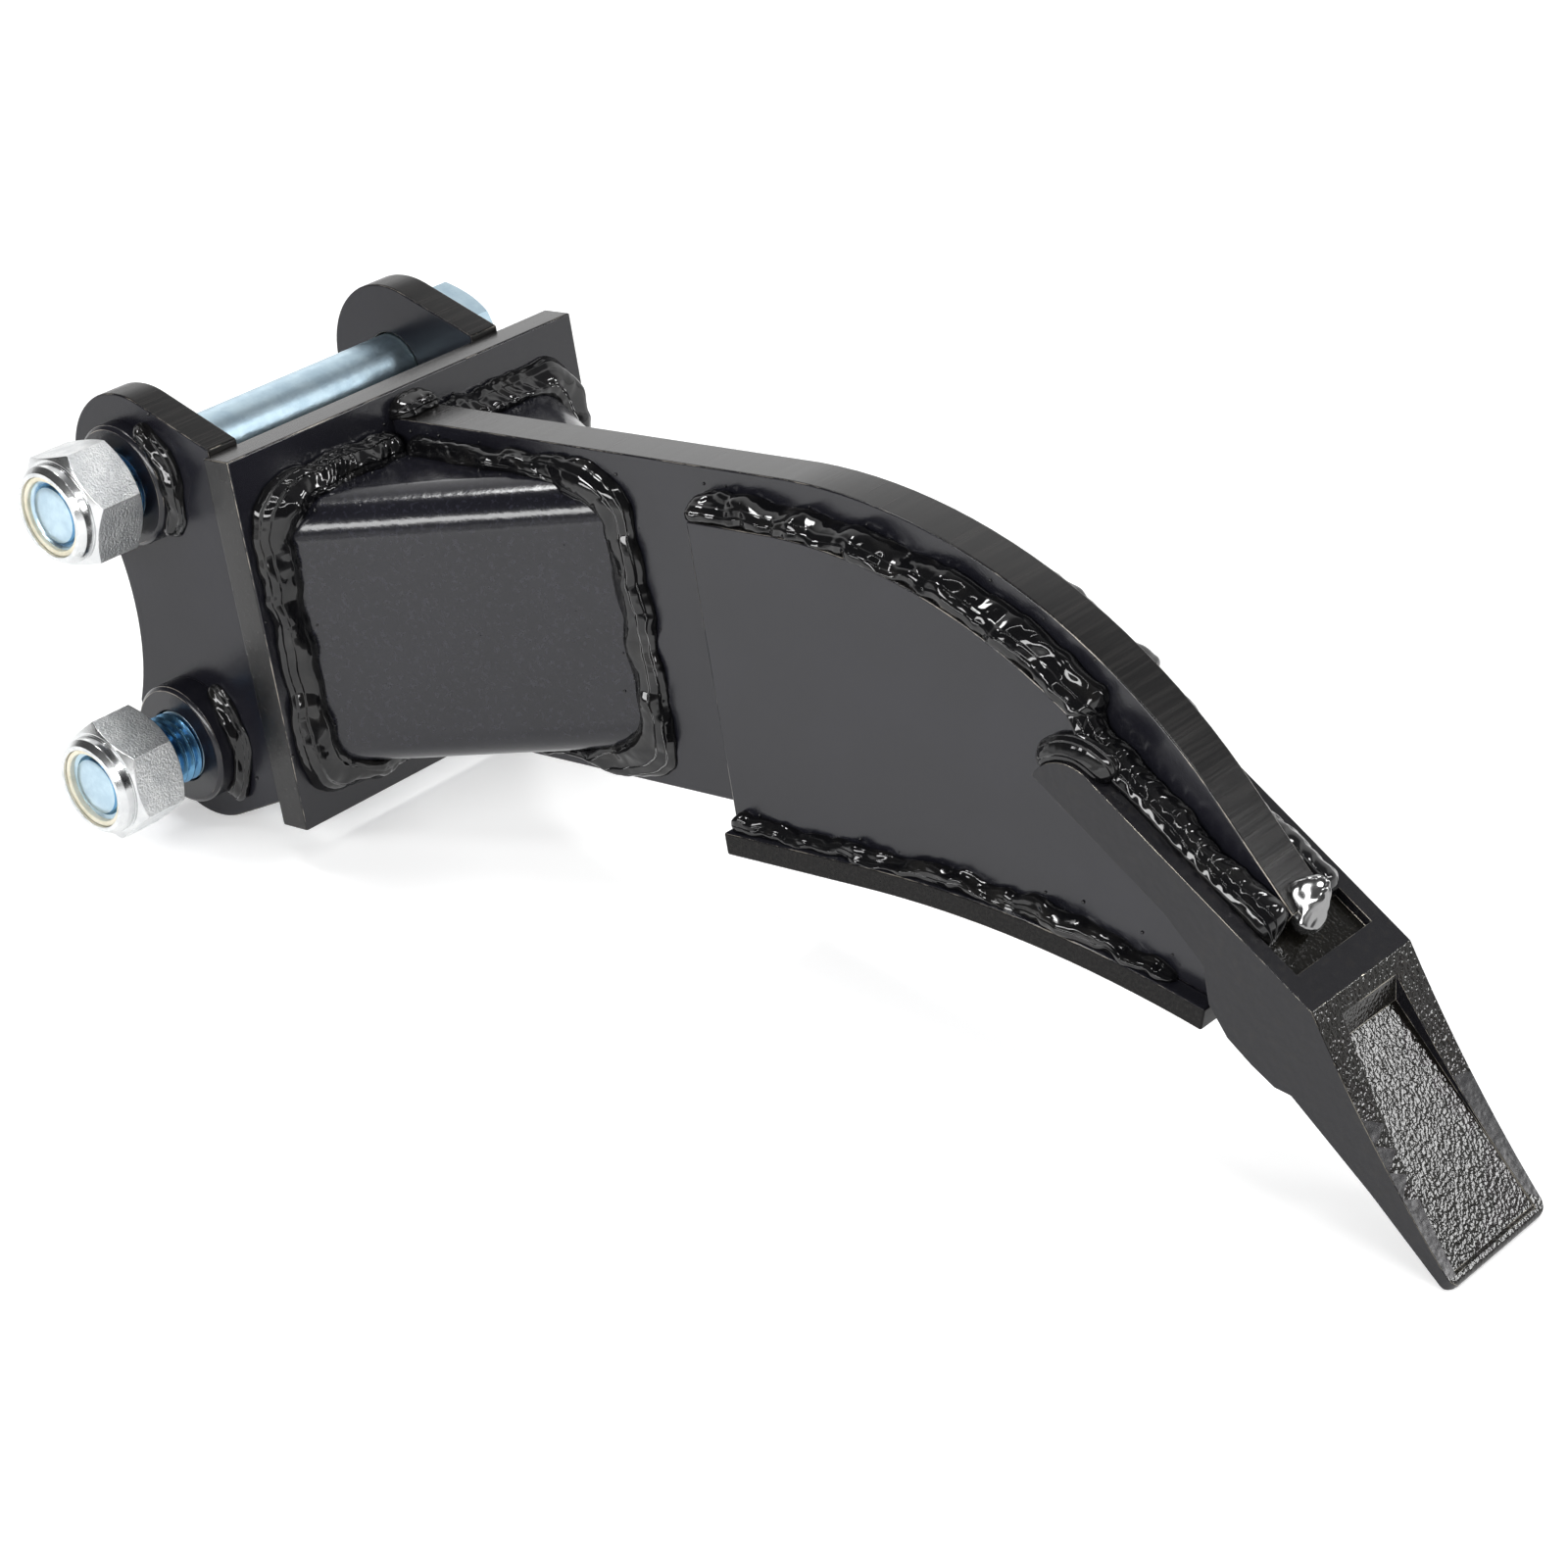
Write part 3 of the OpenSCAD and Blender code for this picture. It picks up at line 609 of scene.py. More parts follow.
class Paintbox:
    """Every finish of the part, made into materials once."""

    def __init__(self) -> None:
        """Builds the materials."""
        self.plate = GlossPaint().material()
        # The gusset tubes get strong painted glints: many lighter dots that stand for light caught in the orange
        # peel.
        self.tube = GlossPaint(name="tube_paint", peel_scale=380.0, peel_depth=0.00012, pits=0.9, roughness=0.16,
                               glint_speckle=1.6).material()
        # Painted shade: a copy of the plate paint with less gloss, so the ears reflect less and come out darker.
        self.ear = GlossPaint(name="ear_paint_shaded", gloss=0.28).material()
        self.edge = CutEdgePaint().material()
        # Painted shade: a copy of the cut-edge paint with less gloss, so the cut edges of the ears and the sole
        # bar come out darker.
        self.shaded_edge = CutEdgePaint(name="shaded_edge_paint", gloss=0.13).material()
        self.cast = CastPaint().material()
        self.scoop = CastPaint(name="scoop_paint", grain=860.0, coarse=0.4, depth=0.00018, roughness=0.09,
                               specks=0.16, colour=(0.009, 0.0083, 0.0068)).material()
        self.weld = WeldPaint().material()
        self.scaled_weld = WeldPaint(name="scaled_weld_paint", depth=0.00001).material()
        self.drop = WeldPaint(name="drop_metal", colour=(0.26, 0.26, 0.26), second=(0.12, 0.12, 0.12), metal=0.9,
                              roughness=0.14).material()
        self.bolt = ZincPlate(name="bolt_plate").material()
        self.thread = ZincPlate(name="thread_plate", colour=(0.14, 0.32, 0.50), second=(0.06, 0.15, 0.28),
                                roughness=0.22).material()
        self.nut = ZincPlate(name="nut_plate", colour=(0.82, 0.83, 0.83), second=(0.38, 0.40, 0.42), grain=1300.0,
                             depth=0.00034, specks=0.4).material()
        self.collar = ZincPlate(name="collar_plate", colour=(0.69, 0.70, 0.70), second=(0.58, 0.59, 0.60),
                                roughness=0.20, depth=0.00002).material()
        self.insert = Nylon().material()


def copy_of_node(node: str) -> bmesh.types.BMesh:
    """A merged copy of a CAD node, with flat faces joined.

    Args:
        node: name of the CAD node.

    Returns:
        The copy, in row metres.
    """
    bm = bmesh.new()
    bm.from_mesh(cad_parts[node].data)
    bmesh.ops.remove_doubles(bm, verts=bm.verts, dist=MERGE_DISTANCE)
    bmesh.ops.dissolve_limit(bm, angle_limit=FLAT_ANGLE, verts=bm.verts, edges=bm.edges)
    return bm


def join_mesh(part: bmesh.types.BMesh, whole: bmesh.types.BMesh) -> None:
    """Moves one mesh into another.

    Args:
        part: mesh that is added; it is freed.
        whole: mesh that takes it.
    """
    spare = bpy.data.meshes.new("spare")
    part.to_mesh(spare)
    part.free()
    whole.from_mesh(spare)
    bpy.data.meshes.remove(spare)


def round_edges(bm: bmesh.types.BMesh, width: float, segments: int = 2, angle: float = 32.0) -> None:
    """Rounds the sharp edges and marks them for the edge wear and its painted edge highlights.

    Args:
        bm: mesh to change.
        width: width of the rounding in millimetres.
        segments: steps across the rounding.
        angle: smallest angle, in degrees, of an edge that is rounded.
    """
    limit = math.radians(angle)
    layer = bm.verts.layers.float.new("edge")
    sharp = [e for e in bm.edges if e.is_manifold and e.calc_face_angle(0.0) > limit]
    made = bmesh.ops.bevel(bm, geom=sharp, offset=width * MM, offset_type="OFFSET", segments=segments, profile=0.5,
                           affect="EDGES", clamp_overlap=True, material=-1)
    strip = set(made["faces"])
    for vert in made["verts"]:
        inside = all(face in strip for face in vert.link_faces)
        vert[layer] = 1.0 if inside else RIM_WEAR_AND_SHEEN


def place_piece(bm: bmesh.types.BMesh, name: str, node: str | None,
                materials: Sequence[bpy.types.Material], weighted: bool = True) -> bpy.types.Object:
    """Turns a mesh into a piece that rides on the root body.

    Args:
        bm: finished mesh in row metres; it is freed.
        name: name of the piece.
        node: CAD node that the piece stands for, if any.
        materials: materials by face index.
        weighted: whether flat faces keep flat shading beside rounded edges.

    Returns:
        The new object.
    """
    mesh = bpy.data.meshes.new(name)
    bm.to_mesh(mesh)
    bm.free()
    mesh.shade_smooth()
    for material in materials:
        mesh.materials.append(material)
    piece = bpy.data.objects.new(name, mesh)
    bpy.context.scene.collection.objects.link(piece)
    if weighted:
        modifier = piece.modifiers.new("flat_faces", "WEIGHTED_NORMAL")
        modifier.weight = FLAT_WEIGHT
    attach(piece, "root")
    if node:
        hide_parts(node)
    LOG.info("%s: %d faces", name, len(mesh.polygons))
    return piece


@dataclass
class FlatPlates:
    """The plates of the part: head plate, ears, shank, cheeks and sole bar, cut from flat stock."""

    paints: Paintbox
    rounding: float = 0.7
    broad_share: float = 0.6
    side_plates: tuple[str, ...] = ("ear_right", "ear_left", "shank", "cheek_right", "cheek_left")
    # Plates whose cut edges take the lower-gloss copy of the edge paint, as painted shade.
    edge_shaded: tuple[str, ...] = ("ear_right", "ear_left", "sole_bar")

    def build(self) -> None:
        """Builds every plate."""
        for node in self.side_plates:
            self.plate(node, Vector((0.0, 1.0, 0.0)))
        self.plate("head_plate", HEAD.matrix().to_3x3() @ Vector((1.0, 0.0, 0.0)))
        self.plate("sole_bar", HEAD.matrix().to_3x3() @ Vector((0.0, 0.0, 1.0)))

    def plate(self, node: str, flat: Vector) -> bpy.types.Object:
        """Builds one plate with rounded edges and its cut edges in their own finish.

        Args:
            node: CAD node of the plate.
            flat: direction square to the plate's broad faces.

        Returns:
            The new piece.
        """
        bm = copy_of_node(node)
        for face in bm.faces:
            broad = abs(face.normal.dot(flat.normalized())) > self.broad_share
            face.material_index = 0 if broad else 1
        round_edges(bm, self.rounding)
        # The ears take the lower-gloss copy of the plate paint, as painted shade.
        face_paint = self.paints.ear if node.startswith("ear") else self.paints.plate
        edge_paint = self.paints.shaded_edge if node in self.edge_shaded else self.paints.edge
        return place_piece(bm, node + "_plate", node, [face_paint, edge_paint])


@dataclass
class Gussets:
    """The two gussets of square tube with bent corners."""

    paints: Paintbox
    rounding: float = 0.6

    def build(self) -> None:
        """Builds both gussets."""
        for node in ("gusset_right", "gusset_left"):
            bm = copy_of_node(node)
            round_edges(bm, self.rounding, angle=40.0)
            place_piece(bm, node + "_tube", node, [self.paints.tube])


@dataclass
class Bosses:
    """The rings around the pin holes."""

    paints: Paintbox
    rounding: float = 0.4

    def build(self) -> None:
        """Builds the four rings."""
        for node in ("boss_upper_right", "boss_upper_left", "boss_lower_right", "boss_lower_left"):
            bm = copy_of_node(node)
            round_edges(bm, self.rounding, angle=30.0)
            place_piece(bm, node + "_ring", node, [self.paints.plate])


@dataclass
class HitchBolts:
    """The hitch bolts with their lock nuts and nylon rings."""

    paints: Paintbox
    pitch: float = 3.0
    radius: float = 11.95
    core: float = 10.2
    steps: int = 40
    upper_thread: Pair = (-78.5, -86.5)
    lower_thread: Pair = (-82.5, -98.5)
    thread_inset: float = 0.5
    rounding: float = 0.45
    ring_rounding: float = 0.5
    flat_area: float = 0.0001
    # Width of the bolt end's outer rim, which carries painted shade.
    tip_shaded_rim: float = 1.3
    tip_ring: float = 2.5
    tip_fall: float = 1.1
    tip_dome: float = 0.9

    def build(self) -> None:
        """Builds both bolts, nuts and rings."""
        nut_paints = [self.paints.nut, self.paints.collar]
        self.bolt("bolt_upper", UPPER_PIN, self.upper_thread)
        self.bolt("bolt_lower", LOWER_PIN, self.lower_thread)
        for level in ("upper", "lower"):
            bm = copy_of_node("nut_" + level)
            for face in bm.faces:
                face.material_index = 0 if face.calc_area() > self.flat_area else 1
            round_edges(bm, self.rounding, segments=3, angle=24.0)
            place_piece(bm, f"nut_{level}_hexagon", "nut_" + level, nut_paints)
            bm = copy_of_node("insert_" + level)
            round_edges(bm, self.ring_rounding, segments=3, angle=30.0)
            place_piece(bm, f"insert_{level}_ring", "insert_" + level, [self.paints.insert])

    def bolt(self, node: str, pin: Pair, thread: Pair) -> bpy.types.Object:
        """Builds one bolt: the plain shaft and head, the end in the nut, and a real thread between them.

        Args:
            node: CAD node of the bolt.
            pin: middle of the bolt in the head frame, X and Z in millimetres.
            thread: first and last Y of the bare thread, in millimetres.

        Returns:
            The new piece.
        """
        bm = copy_of_node(node)
        high = HEAD.matrix() @ Vector((0.0, thread[0] - self.thread_inset, 0.0))
        low = HEAD.matrix() @ Vector((0.0, thread[1] + self.thread_inset, 0.0))
        for bound, outward in ((high, -1.0), (low, 1.0)):
            part = bmesh.ops.bisect_plane(bm, geom=bm.verts[:] + bm.edges[:] + bm.faces[:], dist=1e-7,
                                          plane_co=bound, plane_no=Vector((0.0, outward, 0.0)))
            cut = [e for e in part["geom_cut"] if isinstance(e, bmesh.types.BMEdge)]
            bmesh.ops.split_edges(bm, edges=cut)
        spare = [f for f in bm.faces if low.y < f.calc_center_median().y < high.y]
        bmesh.ops.delete(bm, geom=spare, context="FACES")
        bmesh.ops.holes_fill(bm, edges=[e for e in bm.edges if e.is_boundary], sides=0)
        bmesh.ops.recalc_face_normals(bm, faces=bm.faces)
        self.dome_tip(bm)
        round_edges(bm, self.rounding, segments=3, angle=28.0)
        coil = self.thread_coil(pin, thread)
        for face in coil.faces:
            face.material_index = 1
        join_mesh(coil, bm)
        return place_piece(bm, node + "_shaft", node, [self.paints.bolt, self.paints.thread])

    def dome_tip(self, bm: bmesh.types.BMesh) -> None:
        """Gives the bare end of a bolt a shallow dome inside a falling rim, which takes the darker thread finish
        as painted shade in the gap inside the nylon ring.

        Args:
            bm: the bolt's mesh in row metres.
        """
        tip = min(bm.faces, key=lambda face: face.calc_center_median().y)
        middle = tip.calc_center_median()
        reach = max((vert.co - middle).length for vert in tip.verts)
        ends = set(tip.verts)
        for width in (self.tip_shaded_rim, self.tip_ring, self.tip_ring, self.tip_ring):
            ring = bmesh.ops.inset_region(bm, faces=[tip], thickness=width * MM, use_boundary=True,
                                          use_even_offset=True)
            # The outer rim takes the thread's darker finish. It stands for the thread showing there and paints the
            # shade of the gap inside the nylon ring.
            if width == self.tip_shaded_rim:
                for face in ring["faces"]:
                    face.material_index = 1
            ends.update(vert for face in ring["faces"] for vert in face.verts)
        for vert in ends:
            share = (vert.co - middle).length / reach
            vert.co.y += MM * (self.tip_dome * share ** 2 + (self.tip_fall if share > 0.97 else 0.0))

    def thread_coil(self, pin: Pair, thread: Pair) -> bmesh.types.BMesh:
        """A length of thread, spun from one flank profile along its helix.

        Args:
            pin: middle of the bolt in the head frame.
            thread: first and last Y of the bare thread.

        Returns:
            The thread as a mesh in row metres.
        """
        coil = bmesh.new()
        start = Vector((pin[0], thread[0] + self.pitch, pin[1]))
        core, crest = self.core, self.radius
        rise = [(0.0, core), (0.12, core), (0.44, crest), (0.56, crest), (0.88, core), (1.0, core)]
        verts = [coil.verts.new(start + Vector((r, -f * self.pitch, 0.0))) for f, r in rise]
        edges = [coil.edges.new(pair) for pair in zip(verts, verts[1:])]
        turns = (thread[0] - thread[1]) / self.pitch + 1.0
        count = int(turns * self.steps)
        bmesh.ops.spin(coil, geom=verts + edges, cent=Vector((pin[0], 0.0, pin[1])), axis=Vector((0.0, -1.0, 0.0)),
                       dvec=Vector((0.0, -self.pitch / self.steps, 0.0)), angle=count * 2 * math.pi / self.steps,
                       steps=count, use_merge=False, use_duplicate=False)
        bmesh.ops.remove_doubles(coil, verts=coil.verts, dist=0.01)
        bmesh.ops.recalc_face_normals(coil, faces=coil.faces)
        bmesh.ops.transform(coil, matrix=HEAD.matrix(), verts=coil.verts)
        return coil


@dataclass
class CastTooth:
    """The forked casting with its scoop."""

    paints: Paintbox
    rounding: float = 1.7
    scoop_from: float = 90.0
    scoop_half: float = 20.0
    pocket: Pair = (60.0, 80.0)
    pocket_half: float = 17.0

    def build(self) -> bpy.types.Object:
        """Builds the tooth with soft cast edges; the scoop and the pocket get the coarser skin.

        Returns:
            The new piece.
        """
        bm = copy_of_node("tooth")
        back = HEAD.matrix().inverted()
        along, off = TOOTH.direction(1.0, 0.0), TOOTH.direction(0.0, 1.0)
        turn = HEAD.matrix().to_3x3()
        up = (turn @ off).normalized()
        front = (turn @ (along * 0.45 + off * 0.9)).normalized()
        for face in bm.faces:
            spot = back @ face.calc_center_median() - TOOTH.point(0.0, 0.0, 0.0)
            s, wide, n = spot.dot(along), abs(spot.y), spot.dot(off)
            scooped = s > self.scoop_from and wide < self.scoop_half and face.normal.dot(front) > 0.15 and n < -1.0
            level = self.pocket[0] < s < self.pocket[1] and face.normal.dot(up) > 0.8
            sunk = level and wide < self.pocket_half and n < -1.5
            face.material_index = 1 if scooped or sunk else 0
        round_edges(bm, self.rounding, segments=3, angle=16.0)
        return place_piece(bm, "tooth_casting", "tooth", [self.paints.cast, self.paints.scoop])


@dataclass(frozen=True)
class Station:
    """One place along a weld run: the corner it fills, its two legs and its crown, in head millimetres."""

    root: Vector
    leg_a: Vector
    leg_b: Vector
    crown: float
    ripple: float = 1.0

    def toward(self, other: "Station", share: float) -> "Station":
        """The station a share of the way to another.

        Args:
            other: the station to go toward.
            share: share of the way, 0 to 1.

        Returns:
            The station between the two.
        """
        return Station(self.root.lerp(other.root, share), self.leg_a.lerp(other.leg_a, share),
                       self.leg_b.lerp(other.leg_b, share), self.crown + (other.crown - self.crown) * share,
                       self.ripple + (other.ripple - self.ripple) * share)

    def out(self) -> Vector:
        """Direction in which the bead stands proud of its corner."""
        return (self.leg_a.normalized() + self.leg_b.normalized()).normalized()


@dataclass(frozen=True)
class BeadStyle:
    """How a weld run ripples and wanders, in millimetres."""

    pitch: float = 4.8
    ripple: float = 0.45
    lump: float = 0.7
    wander: float = 0.14
    skew: float = 1.6
    step: float = 0.3
    taper: float = 5.0
    drip: float = 0.0
    across: int = 25
    under: int = 5


@dataclass
class WeldRun:
    """A rippled bead laid along stations."""

    stations: list[Station]
    style: BeadStyle
    seed: float
    marks: list[float] = field(default_factory=list)

    def __post_init__(self) -> None:
        """Measures the distance of each station along the run."""
        self.marks = [0.0]
        for first, second in zip(self.stations, self.stations[1:]):
            self.marks.append(self.marks[-1] + (second.root - first.root).length)

    def at(self, distance: float) -> Station:
        """The station at a distance along the run.

        Args:
            distance: distance from the start of the run.

        Returns:
            The station there, or the last one past the end.
        """
        for place in range(len(self.marks) - 1):
            if distance <= self.marks[place + 1]:
                span = self.marks[place + 1] - self.marks[place]
                return self.stations[place].toward(self.stations[place + 1], (distance - self.marks[place]) / span)
        return self.stations[-1]

    def wave(self, distance: float, size: float, row: float) -> float:
        """Smooth noise along the run, about -1 to 1."""
        return noise.noise(Vector((distance / size, self.seed * 3.7 + row, row * 1.9)))

    def fade(self, distance: float) -> float:
        """How far the bead has grown from its rounded ends, up to 1."""
        edge = min(distance, self.marks[-1] - distance) / self.style.taper
        return 0.08 + 0.92 * math.sqrt(max(0.0, 1.0 - (1.0 - min(edge, 1.0)) ** 2))

    def place(self, index: int, distance: float) -> Vector:
        """Where a vertex of the bead lies.

        Args:
            index: place of the vertex around the bead, from toe to toe and back through the corner.
            distance: distance along the run.

        Returns:
            The point in head millimetres.
        """
        style, station, fade = self.style, self.at(distance), self.fade(distance)
        sway_a = self.wave(distance, 9.0, 5.1) + 0.4 * self.wave(distance, 4.0, 7.7)
        sway_b = self.wave(distance, 10.0, 9.3) + 0.4 * self.wave(distance, 4.5, 3.3)
        a = station.leg_a * fade * (1.0 + style.wander * sway_a)
        b = station.leg_b * fade * (1.0 + style.wander * sway_b)
        out = station.out()
        if index >= style.across:
            share = 2.0 * (index - style.across + 1) / (style.under + 1)
            chord = b * (1.0 - share) if share < 1.0 else a * (share - 1.0)
            return station.root + chord * 0.92 - out * 0.7
        w = index / (style.across - 1)
        u = 2.0 * w - 1.0
        phase = distance / style.pitch + 0.35 * self.wave(distance, 14.0, 0.0) + style.skew * (1.0 - u * u)
        step = phase - math.floor(phase)
        scale = math.sin(math.pi * (step / 0.7 if step < 0.7 else (1.0 - step) / 0.3) - 0.5 * math.pi)
        scale *= station.ripple * (0.3 + 1.5 * abs(self.wave(distance, 13.0, 2.0)))
        body, inner = station.crown * (1.0 - u * u), 1.0 - u ** 4
        lumps = style.lump * noise.noise(Vector((distance / 15.0, self.seed, w * 1.4))) * inner
        drips = style.drip * max(0.0, noise.noise(Vector((distance / 8.0, self.seed + 8.0, w * 1.8)))) * inner
        fine = 0.03 * noise.noise(Vector((distance / 3.0, self.seed + 4.0, w * 4.0))) + drips
        lift = (body + style.ripple * scale * inner + lumps + fine) * fade
        return station.root + a * (1.0 - w) + b * w + out * (lift - 0.45 * abs(u) ** 6)

    def build(self) -> bmesh.types.BMesh:
        """Builds the bead as a closed tube bent along the run.

        Returns:
            The mesh in head millimetres.
        """
        around = self.style.across + self.style.under
        rings = max(8, int(self.marks[-1] / self.style.step))
        bm = bmesh.new()
        bmesh.ops.create_cone(bm, cap_ends=True, segments=around, radius1=1.0, radius2=1.0, depth=1.0)
        tall = [e for e in bm.edges if abs(e.verts[0].co.z - e.verts[1].co.z) > 0.5]
        bmesh.ops.subdivide_edges(bm, edges=tall, cuts=rings - 1)
        for vert in bm.verts:
            index = round(math.atan2(vert.co.y, vert.co.x) / (2 * math.pi) * around) % around
            vert.co = self.place(index, (vert.co.z + 0.5) * self.marks[-1])
        bmesh.ops.recalc_face_normals(bm, faces=bm.faces)
        return bm


@dataclass
class Spatter:
    """Small balls of weld metal stuck beside a run."""

    count: int = 10
    reach_a: float = 7.0
    reach_b: float = 7.0
    size: Pair = (0.3, 0.65)

    def build(self, run: WeldRun, bm: bmesh.types.BMesh) -> None:
        """Adds the balls beside the toes of a run.

        Args:
            run: the run that they came from.
            bm: mesh in head millimetres that takes them.
        """
        for ball in range(self.count):
            share = 0.5 + 0.5 * math.sin(ball * 12.9898 + run.seed * 78.233)
            pick = 0.5 + 0.5 * math.sin(ball * 39.425 + run.seed * 11.135)
            station = run.at(share * run.marks[-1])
            leg, reach = (station.leg_a, self.reach_a) if ball % 2 else (station.leg_b, self.reach_b)
            if reach <= 0.0:
                continue
            radius = self.size[0] + (self.size[1] - self.size[0]) * pick
            spot = station.root + leg + leg.normalized() * (0.6 + reach * share * pick)
            bmesh.ops.create_icosphere(bm, subdivisions=2, radius=radius, matrix=Matrix.Translation(spot))


def flip(side: Side, *vectors: Vector) -> list[Vector]:
    """Vectors of the right side moved to the asked side."""
    return [Vector((v.x, v.y if side is Side.RIGHT else -v.y, v.z)) for v in vectors]


def level_at(table: Sequence[Pair], place: float) -> float:
    """A value read from a table, in straight lines between its places.

    Args:
        table: places in rising order, each with its value.
        place: the place that is asked for.

    Returns:
        The value there, or the last one past the end.
    """
    for (first, low), (second, high) in zip(table, table[1:]):
        if place <= second:
            return low + (high - low) * (place - first) / (second - first)
    return table[-1][1]


@dataclass
class WeldShop:
    """All the weld runs, laid on the corners of the CAD pieces."""

    paints: Paintbox
    shank_half: float = 8.0
    cheek_half: float = 18.0
    bend_centre: Pair = (169.0, -133.0)
    ledge_radius: float = 174.0
    ledge: float = 41.0
    cheek_start: float = 139.0
    sole_centre: Pair = (195.0, -477.0)
    sole_radius: float = 417.5
    sole_top: float = -59.5
    gusset_reach: float = 100.0
    gusset_foot: float = 65.0
    gusset_top: float = 45.0
    gusset_bottom: float = -48.5
    gusset_bend: float = 14.0
    boss_radius: float = 20.5
    ear_right_face: float = -73.5
    ear_left_face: float = 53.5

    def build(self) -> None:
        """Builds every run."""
        foot = BeadStyle(pitch=4.4, ripple=0.26, lump=2.6, wander=0.24, drip=1.6)
        end = BeadStyle(pitch=5.4, ripple=0.12, lump=2.8, wander=0.26, drip=2.2)
        cheek = BeadStyle(pitch=6.0, ripple=0.05, lump=2.8, wander=0.24, drip=2.4)
        sole = BeadStyle(pitch=6.0, ripple=0.04, lump=1.8, wander=0.4, drip=1.6)
        fork = BeadStyle(pitch=5.4, ripple=0.36, lump=1.0, skew=1.2, step=0.25)
        boss = BeadStyle(pitch=6.0, ripple=0.15, lump=2.4, wander=0.3, drip=1.4)
        for side in Side:
            face = self.ear_right_face if side is Side.RIGHT else self.ear_left_face
            upper = self.boss_run(UPPER_PIN, face, side, (-50.0, 65.0))
            lower = self.boss_run(LOWER_PIN, face, side, (-60.0, 60.0))
            runs = (
                ("weld_gusset_head_", [self.foot_run(side)], foot, Spatter(14, 1.5, 6.0)),
                ("weld_gusset_shank_", [self.end_run(side)], end, Spatter(22, 2.0, 5.0)),
                ("weld_cheek_", [self.cheek_run(side)], cheek, Spatter(18, 0.0, 4.0)),
                ("weld_sole_", [self.sole_run(side)], sole, Spatter(18, 0.0, 6.0)),
                ("weld_fork_", [self.fork_run(side), self.leg_run(side)], fork, Spatter(0)),
                ("weld_boss_upper_", [upper], boss, Spatter(4, 3.0, 0.0)),
                ("weld_boss_lower_", [lower], boss, Spatter(4, 3.0, 0.0)),
            )
            seed = 1.0 if side is Side.RIGHT else 21.0
            for order, (stem, paths, style, spatter) in enumerate(runs):
                self.lay(stem + side.name.lower(), paths, style, seed + 2 * order, spatter)
        self.lay("weld_head", [self.head_run()], BeadStyle(lump=1.6, ripple=0.3), 33.0, Spatter(0))
        self.nose_drop()

    def lay(self, node: str, paths: Iterable[list[Station]], style: BeadStyle, seed: float,
            spatter: Spatter) -> bpy.types.Object:
        """Makes the piece of one weld node.

        Args:
            node: CAD node that the piece stands for.
            paths: the stations of each bead in it.
            style: how the beads ripple.
            seed: start of its noise.
            spatter: the small balls beside each bead.

        Returns:
            The new piece.
        """
        whole = bmesh.new()
        for turn, stations in enumerate(paths):
            run = WeldRun(stations, style, seed + 0.5 * turn)
            join_mesh(run.build(), whole)
            spatter.build(run, whole)
        bmesh.ops.transform(whole, matrix=HEAD.matrix(), verts=whole.verts)
        paint = self.paints.scaled_weld if node.startswith("weld_fork") else self.paints.weld
        return place_piece(whole, node + "_bead", node, [paint], weighted=False)

    def tube_outline(self) -> list[tuple[float, float, Vector]]:
        """Outline of a gusset's section from its upper to its lower open end.

        Returns:
            Inward distance, height and outward direction (inward, height) at each place.
        """
        bend, top, low = self.gusset_bend, self.gusset_top, self.gusset_bottom
        angles = [math.radians(90.0 * i / 12) for i in range(13)]
        turns = [(math.sin(angle), math.cos(angle)) for angle in angles]
        found = [(30.0 - 2.0 * i, top, Vector((0.0, 1.0))) for i in range(9)]
        found += [(bend - bend * sin, top - bend + bend * cos, Vector((-sin, cos))) for sin, cos in turns]
        found += [(0.0, top - bend - (top - low - 2 * bend) * i / 16, Vector((-1.0, 0.0))) for i in range(1, 16)]
        found += [(bend - bend * cos, low + bend - bend * sin, Vector((-cos, -sin))) for sin, cos in turns]
        return found + [(bend + 2.0 * i, low, Vector((0.0, -1.0))) for i in range(1, 9)]

    def slant(self) -> float:
        """Angle of the gussets to the shank, in radians."""
        return math.atan2(self.gusset_foot - self.shank_half, self.gusset_reach)

    def foot_run(self, side: Side) -> list[Station]:
        """Stations around the foot of a gusset on the head plate.

        Args:
            side: side of the shank.

        Returns:
            The stations.
        """
        lie = self.slant()
        face = Vector((math.cos(lie), math.sin(lie), 0.0))
        made = []
        for inward, height, outward in self.tube_outline():
            inward = inward * 1.62 if inward > self.gusset_bend else inward
            root = Vector((0.0, min(-self.gusset_foot + inward / math.cos(lie), -self.shank_half), height))
            upright, bent = abs(outward.x), abs(outward.x * outward.y)
            leg_a = Vector((0.0, outward.x, outward.y)) * (8.4 + 5.0 * bent)
            along = Vector((0.0, -outward.y, outward.x))
            leg_b = (face - along * face.dot(along)).normalized() * (10.5 - 3.4 * upright)
            made.append(Station(*flip(side, root, leg_a, leg_b), 2.0 + 1.0 * upright + 1.6 * bent, 1.0 - upright))
        return made

